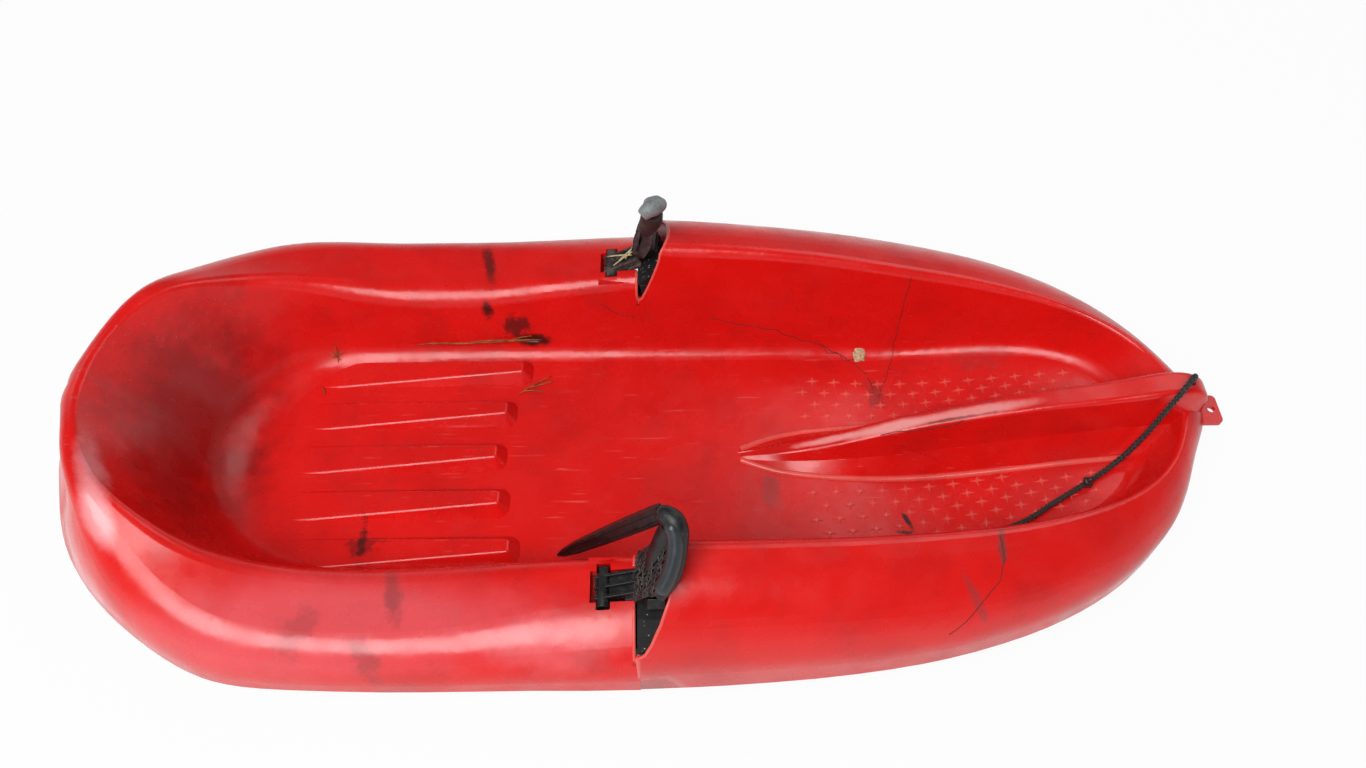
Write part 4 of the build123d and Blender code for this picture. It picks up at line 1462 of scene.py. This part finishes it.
@dataclass
class BrakeLever:
    """One lever, drawn in millimetres for the left side at its stop, heights from the flat floor."""

    side: Side
    pivot: Point = (-30.0, 195.0, 88.0)
    axle_radius: float = 6.0
    axle_length: float = 39.0
    pitch: float = 20.0                # degrees that the arm rises towards the nose
    arm_rear: float = -7.0
    arm_front: float = 36.0
    arm_width: float = 24.0
    flange_width: float = 29.0         # the arm's foot, where it meets the claw
    grip_radius: float = 7.6
    grip: tuple[Point, ...] = (
        (20, 226.7, 142.5), (28.2, 217.5, 152.6), (33, 207.3, 162.9), (35, 196.6, 172.8), (34, 187.2, 181),
        (27.5, 181, 186))
    # the post that leans from the claw to the grip, with its radius at each point
    spine: tuple[Point, ...] = (
        (12, 203, 92), (13, 201, 104), (14.5, 196.5, 117), (17.5, 192, 132), (21.5, 188, 147.5),
        (28.5, 183, 164), (32, 180, 175))
    spine_radii: tuple[float, ...] = (6, 8.8, 9.6, 9.6, 10.2, 11.5, 10)
    gusset: tuple[Point, ...] = (
        (3, 184, 76), (22, 184, 76), (23, 204, 90), (25, 216, 110), (10, 216, 110), (2, 200, 90))
    gusset_depth: Point = (0, 7, -7)
    # the strap from the hand bar round the grip, with its radius at each point
    strap: tuple[Point, ...] = (
        (21, 171, 182), (28, 175, 185), (34.5, 181, 183), (37.8, 188.5, 177), (37.4, 196, 169),
        (37.2, 206, 160), (32.2, 217, 149.5), (20, 227, 137.5))
    strap_radii: tuple[float, ...] = (6.0, 8.8, 10.6, 9.4, 7.8, 6.4, 6.2, 4.6)
    # where the web starts from the arm, and its lattice
    web_foot: tuple[Point, ...] = (
        (0, 214, 101), (-1, 206, 104), (-1, 196, 107), (1, 186, 112), (5, 178, 122))
    strut: float = 0.95                # radius of the lattice's struts
    jitter: float = 2.3                # how far a crossing is off its even place
    left_out: float = 0.16             # share of the struts that is missing
    # the hand bar's ends, and the way that its ridged face looks
    bar_start: Point = (24.0, 170.0, 181.0)
    bar_end: Point = (-80.0, 127.5, 22.0)
    bar_face: Point = (0.25, 0.55, 0.8)
    # sections of the hand bar: share of its length, half its width and half its thickness
    bar_sections: tuple[Triple, ...] = (
        (0, 7.6, 4.6), (0.08, 8.2, 4.8), (0.3, 8.0, 4.6), (0.55, 7.2, 4.2), (0.8, 5.8, 3.6),
        (0.94, 3.6, 2.8), (1.0, 1.2, 1.4))
    # the claw's top, which fills the slot: along and across
    slot_fill: tuple[Plan, ...] = (
        (0.6, 160), (3, 160), (8, 162.3), (13.7, 165.6), (19.8, 169.6), (25.3, 178), (29.2, 190.5),
        (30.7, 203), (29.3, 213.5), (25.7, 224.8), (18.8, 239.7), (11.1, 251), (6.2, 255), (0.6, 255.5))
    # the claw's outlines from the side, along and up, and from the nose, across and up
    tooth: tuple[Plan, ...] = (
        (-6, 60), (35, 60), (33, 40), (24, 5), (17, -6), (10, -9), (0, 10), (-6, 35))
    cheek: tuple[Plan, ...] = (
        (198, -9), (232, -9), (240, 50), (243, 74), (257, 84), (228, 94), (159, 94), (159, 91), (166, 80),
        (168, 50))

    def build(self) -> None:
        """Make the lever's pieces and fix them to its body."""
        black = Finish.BLACK if self.side.whole else Finish.OLD_BLACK
        grey = Finish.GRIP if self.side.whole else Finish.OLD_GRIP
        frame_piece = self._piece("frame", self._frame(), black, 0.7)
        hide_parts(self.side.node)
        self._piece("claw", self._claw(), Finish.CLAW, 1.2)
        self._piece("grip_sleeve", self._sleeve(), grey, 0)
        self._piece("strap", self._strap(), black if self.side.whole else grey, 0)
        if self.side.whole:
            self._piece("hand_bar", self._bar(), black, 0.8)
        self._lattice(Finish.WEB if self.side.whole else black)
        if not self.side.whole:
            self._piece("straws", self._straws(), Finish.STRAW, 0)

    def _seat(self) -> Matrix:
        """Where the drawn lever goes: mirrored to the right, or lifted about its axle on the left.

        Returns:
            The move.
        """
        if self.side is Side.RIGHT:
            return Matrix.Diagonal((1, -1, 1, 1))
        pivot = on_floor(self.pivot)
        turn = Matrix.Rotation(math.radians(self.side.lift), 4, Vector((0, -1, 0)))
        return Matrix.Translation(pivot) @ turn @ Matrix.Translation(-pivot)

    def _place(self, mesh: bpy.types.Mesh) -> None:
        """Move a mesh to its side and turn its faces outward.

        Args:
            mesh: the mesh as drawn.
        """
        mesh.transform(self._seat())
        if self.side is Side.RIGHT:
            mesh.flip_normals()

    def _piece(self, part: str, mesh: bpy.types.Mesh, finish: Finish, edge: float) -> bpy.types.Object:
        """Round a mesh's edges, place it and fix it to the lever's body.

        Args:
            part: what it is.
            mesh: the mesh as drawn.
            finish: its finish.
            edge: width of the rounding, in millimetres, or 0.

        Returns:
            The piece.
        """
        name = f"{self.side.body}_{part}"
        if edge:
            mesh = bevelled(name, mesh, edge * MM)
        self._place(mesh)
        piece = new_piece(name, mesh)
        dress(piece, finish.material())
        return rides(piece, self.side.body)

    def _box(self, start: float, end: float, y: float, width: float, low: float,
             high: float) -> bpy.types.Mesh:
        """A bar along the arm.

        Args:
            start: where it starts, from the axle's middle.
            end: where it ends.
            y: its middle's place across the arm.
            width: its width across the arm.
            low: its lower side, over the arm's axis.
            high: its upper side.

        Returns:
            The bar.
        """
        pitch = math.radians(self.pitch)
        ahead = Vector((math.cos(pitch), 0, math.sin(pitch)))
        up = Vector((-math.sin(pitch), 0, math.cos(pitch)))
        origin = on_floor(self.pivot)
        corners = [origin + (ahead * run + up * level + Vector((0, y - width / 2, 0))) * MM
                   for run, level in ((start, low), (end, low), (end, high), (start, high))]
        return slab_mesh(corners, Vector((0, width, 0)) * MM)

    def _frame(self) -> bpy.types.Mesh:
        """Axle, ribbed arm with its flange, leaning spine, gusset and the plate behind the lattice.

        Returns:
            The frame.
        """
        x, y, z = self.pivot
        axle = [on_floor((x, y + side * self.axle_length / 2, z)) for side in (-1, 1)]
        meshes = [tube_mesh(axle, [self.axle_radius * MM] * 2, 24),
                  self._box(self.arm_rear, self.arm_front, 0, self.arm_width, -5.2, 0.6)]
        for share in (-0.43, 0, 0.43):
            rib = self._box(self.arm_rear, self.arm_front + 1, share * self.arm_width, 3.0, -4.5, 5.2)
            meshes.append(rib)
        meshes.append(self._box(self.arm_rear, self.arm_rear + 3, 0, self.arm_width, -4.5, 3.2))
        meshes.append(self._box(20, self.arm_front, 0, self.flange_width, -5.6, -1.5))
        spine = [on_floor(point) for point in self.spine]
        meshes.append(tube_mesh(spine, [radius * MM for radius in self.spine_radii], 20))
        meshes.append(slab_mesh([on_floor(point) for point in self.gusset], Vector(self.gusset_depth) * MM))
        meshes.append(self._fan_plate())
        return join_meshes("lever_frame", meshes)

    def _fan_grid(self, rows: int, columns: int, sink: float) -> list[list[Vector]]:
        """Points of the web between the arm's end and the grip.

        Args:
            rows: points from the arm to the grip.
            columns: points along the grip.
            sink: millimetres behind the web's face.

        Returns:
            Rows of points in metres.
        """
        inner, outer = self.web_foot, self.grip[:-1]
        behind, bulge = Vector((-0.5, 0.35, 0.8)), 3.0
        grid = []
        for i in range(rows):
            row = []
            for j in range(columns):
                run = 4 * j / (columns - 1)
                k = min(int(run), 3)
                low = Vector(inner[k]).lerp(Vector(inner[k + 1]), run - k)
                high = Vector(outer[k]).lerp(Vector(outer[k + 1]), run - k)
                share = i / (rows - 1)
                point = low.lerp(high, share) + Vector((0, 0, bulge * math.sin(math.pi * share)))
                row.append(on_floor(tuple(point)) - behind * sink * MM)
            grid.append(row)
        return grid

    def _fan_plate(self) -> bpy.types.Mesh:
        """Plate behind the lattice, thickest between the arm and the grip.

        Returns:
            The closed plate.
        """
        front, back = (self._fan_grid(7, 9, sink) for sink in (2.2, 5.0))
        for number, row in enumerate(back):
            depth = 9 * math.sin(math.pi * min(0.2 + number / 6, 0.95))
            row[:] = [point + Vector((0.8, -0.3, -0.54)) * depth * MM for point in row]
        work = bmesh.new()
        sheets = [[[work.verts.new(p) for p in row] for row in sheet] for sheet in (front, back)]
        for sheet in sheets:
            for upper, lower in zip(sheet, sheet[1:]):
                for j in range(len(upper) - 1):
                    work.faces.new((upper[j], upper[j + 1], lower[j + 1], lower[j]))
        rims = [[*sheet[0], *[row[-1] for row in sheet[1:]], *sheet[-1][-2::-1],
                 *[row[0] for row in sheet[-2:0:-1]]] for sheet in sheets]
        skin_rings(work, rims)
        return closed_mesh(work, "plate")

    def _lattice(self, finish: Finish) -> None:
        """The web's irregular lattice of thin struts, in front of its plate.

        Args:
            finish: its finish.
        """
        grid = self._fan_grid(9, 11, -2.6)
        vertices = [p for row in grid for p in row]
        columns = len(grid[0])
        faces = [(i * columns + j, i * columns + j + 1, (i + 1) * columns + j + 1, (i + 1) * columns + j)
                 for i in range(len(grid) - 1) for j in range(columns - 1)]
        seed = bpy.data.meshes.new("web")
        seed.from_pydata(vertices, [], faces)
        name = f"{self.side.body}_web"
        values = {"Strut": self.strut * MM, "Jitter": self.jitter * MM, "Left Out": self.left_out,
                  "Material": finish.material()}
        piece = grow(name, seed, self._lattice_tree(), values)
        self._place(piece.data)
        rides(piece, self.side.body)

    def _lattice_tree(self) -> bpy.types.NodeTree:
        """Struts along the shifted edges of a triangulated sheet, with some left out.

        Returns:
            The tree, made once for both levers.
        """
        found = bpy.data.node_groups.get("lattice")
        if found:
            return found
        tree, group_in, group_out = geometry_tree("lattice", [
            ("Strut", "NodeSocketFloat"), ("Jitter", "NodeSocketFloat"), ("Left Out", "NodeSocketFloat"),
            ("Material", "NodeSocketMaterial")])
        shift = add_node(tree, "FunctionNodeRandomValue",
                         {0: (-0.5, -0.5, -0.25), 1: (0.5, 0.5, 0.25), "Seed": 11}, data_type="FLOAT_VECTOR")
        scaled = add_node(tree, "ShaderNodeVectorMath",
                          {0: shift.outputs[0], "Scale": group_in.outputs["Jitter"]}, operation="SCALE")
        loose = add_node(tree, "GeometryNodeSetPosition",
                         {"Geometry": group_in.outputs["Geometry"], "Offset": scaled.outputs[0]})
        split = add_node(tree, "GeometryNodeTriangulate", {"Mesh": loose.outputs[0]},
                         quad_method="LONGEST_DIAGONAL")
        chance = add_node(tree, "FunctionNodeRandomValue",
                          {"Probability": group_in.outputs["Left Out"], "Seed": 5}, data_type="BOOLEAN")
        fewer = add_node(tree, "GeometryNodeDeleteGeometry",
                         {"Geometry": split.outputs[0], "Selection": chance.outputs[3]}, domain="EDGE",
                         mode="EDGE_FACE")
        lines = add_node(tree, "GeometryNodeMeshToCurve", {"Mesh": fewer.outputs[0]})
        section = add_node(tree, "GeometryNodeCurvePrimitiveCircle",
                           {"Resolution": 5, "Radius": group_in.outputs["Strut"]})
        struts = add_node(tree, "GeometryNodeCurveToMesh",
                          {"Curve": lines.outputs[0], "Profile Curve": section.outputs[0], "Fill Caps": True})
        close_tree(tree, group_in, group_out, struts.outputs[0])
        return tree

    def _claw(self) -> bpy.types.Mesh:
        """The fill of the slot and the tooth that reaches the snow below it.

        Returns:
            The claw.
        """
        fill = slab_mesh([on_floor((x, y, 55)) for x, y in self.slot_fill], Vector((0, 0, 75)) * MM)
        tooth = slab_mesh([on_floor((x, 168, z)) for x, z in self.tooth], Vector((0, 75, 0)) * MM)
        meshes = []
        for name, shape in (("claw_top", fill), ("claw_tooth", tooth)):
            cheek = slab_mesh([on_floor((-60, y, z)) for y, z in self.cheek], Vector((120, 0, 0)) * MM)
            meshes.append(common_part(name, shape, cheek))
        return join_meshes("claw", meshes)

    def _sleeve(self) -> bpy.types.Mesh:
        """Smooth grip with rounded ends.

        Returns:
            The grip.
        """
        line = [on_floor(tuple(p / MM)) for p in smooth_line(self.grip, 8)]
        runs = [0.0]
        for a, b in zip(line, line[1:]):
            runs.append(runs[-1] + (b - a).length / MM)
        radii = []
        least = 0.4                     # keeps the tip's faces open
        for run in runs:
            edge = min(run, runs[-1] - run)
            radius = self.grip_radius
            if edge < radius:
                radius = max(math.sqrt(max(radius ** 2 - (radius - edge) ** 2, 0)), least)
            radii.append(radius * MM)
        return tube_mesh(line, radii, 24)

    def _strap(self) -> bpy.types.Mesh:
        """Strap from the hand bar round the grip's outer side to its lower end.

        Returns:
            The strap.
        """
        line = [on_floor(tuple(p / MM)) for p in smooth_line(self.strap, 6)]
        radii = self.strap_radii
        sizes = []
        for number in range(len(line)):
            run = number * (len(radii) - 1) / (len(line) - 1)
            low = min(int(run), len(radii) - 2)
            sizes.append((radii[low] + (radii[low + 1] - radii[low]) * (run - low)) * MM)
        return tube_mesh(line, sizes, 18, flat=0.9)

    def _bar(self) -> bpy.types.Mesh:
        """Blade-like hand bar that narrows to its tip, with a ridge along each edge of its face.

        Returns:
            The bar.
        """
        start, end = Vector(self.bar_start), Vector(self.bar_end)
        ahead = (end - start).normalized()
        side = ahead.cross(Vector(self.bar_face)).normalized()
        up = side.cross(ahead)
        work = bmesh.new()
        rings = []
        for share, width, thick in self.bar_sections:
            middle = start.lerp(end, share)
            section = ((-width, -thick), (width, -thick), (width, thick * 0.7), (width * 0.55, thick),
                       (width * 0.4, thick * 0.55), (-width * 0.4, thick * 0.55), (-width * 0.55, thick),
                       (-width, thick * 0.7))
            rings.append([work.verts.new(on_floor(tuple(middle + side * a + up * b))) for a, b in section])
        skin_rings(work, rings)
        work.faces.new(rings[0])
        work.faces.new(rings[-1])
        return closed_mesh(work, "bar")

    def _straws(self) -> bpy.types.Mesh:
        """Dry straws caught between the arm's ribs.

        Returns:
            The straws.
        """
        straws = (((-26, 186, 97), (12, 199, 112)), ((-20, 191, 98), (10, 203, 114)),
                  ((-12, 190, 101), (14, 214, 120)), ((-33, 200, 97), (-4, 190, 106)))
        steps, radius, bow = 6, 0.8, 1.0
        meshes = []
        for start, end in straws:
            a, b = on_floor(start), on_floor(end)
            line = [a.lerp(b, t / steps) + Vector((0, 0, bow * MM * math.sin(math.pi * t / steps)))
                    for t in range(steps + 1)]
            meshes.append(tube_mesh(line, [radius * MM] * len(line), 6))
        return join_meshes("straws", meshes)


def main() -> None:
    """Build every sub-assembly in order and report its pieces."""
    bpy.context.scene.view_settings.view_transform = "Standard"
    ViewCamera().build()
    Studio().build()
    TowLine().build()
    TubDressing(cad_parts["tub_shell"]).build()
    for side in Side:
        BrakeLever(side).build()
    for name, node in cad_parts.items():
        if name != "tub_shell":
            finish = Finish.ROPE if node.name in ROPE_NODES else Finish.BLACK
            dress(node, finish.material())


if __name__ == "__main__":
    main()
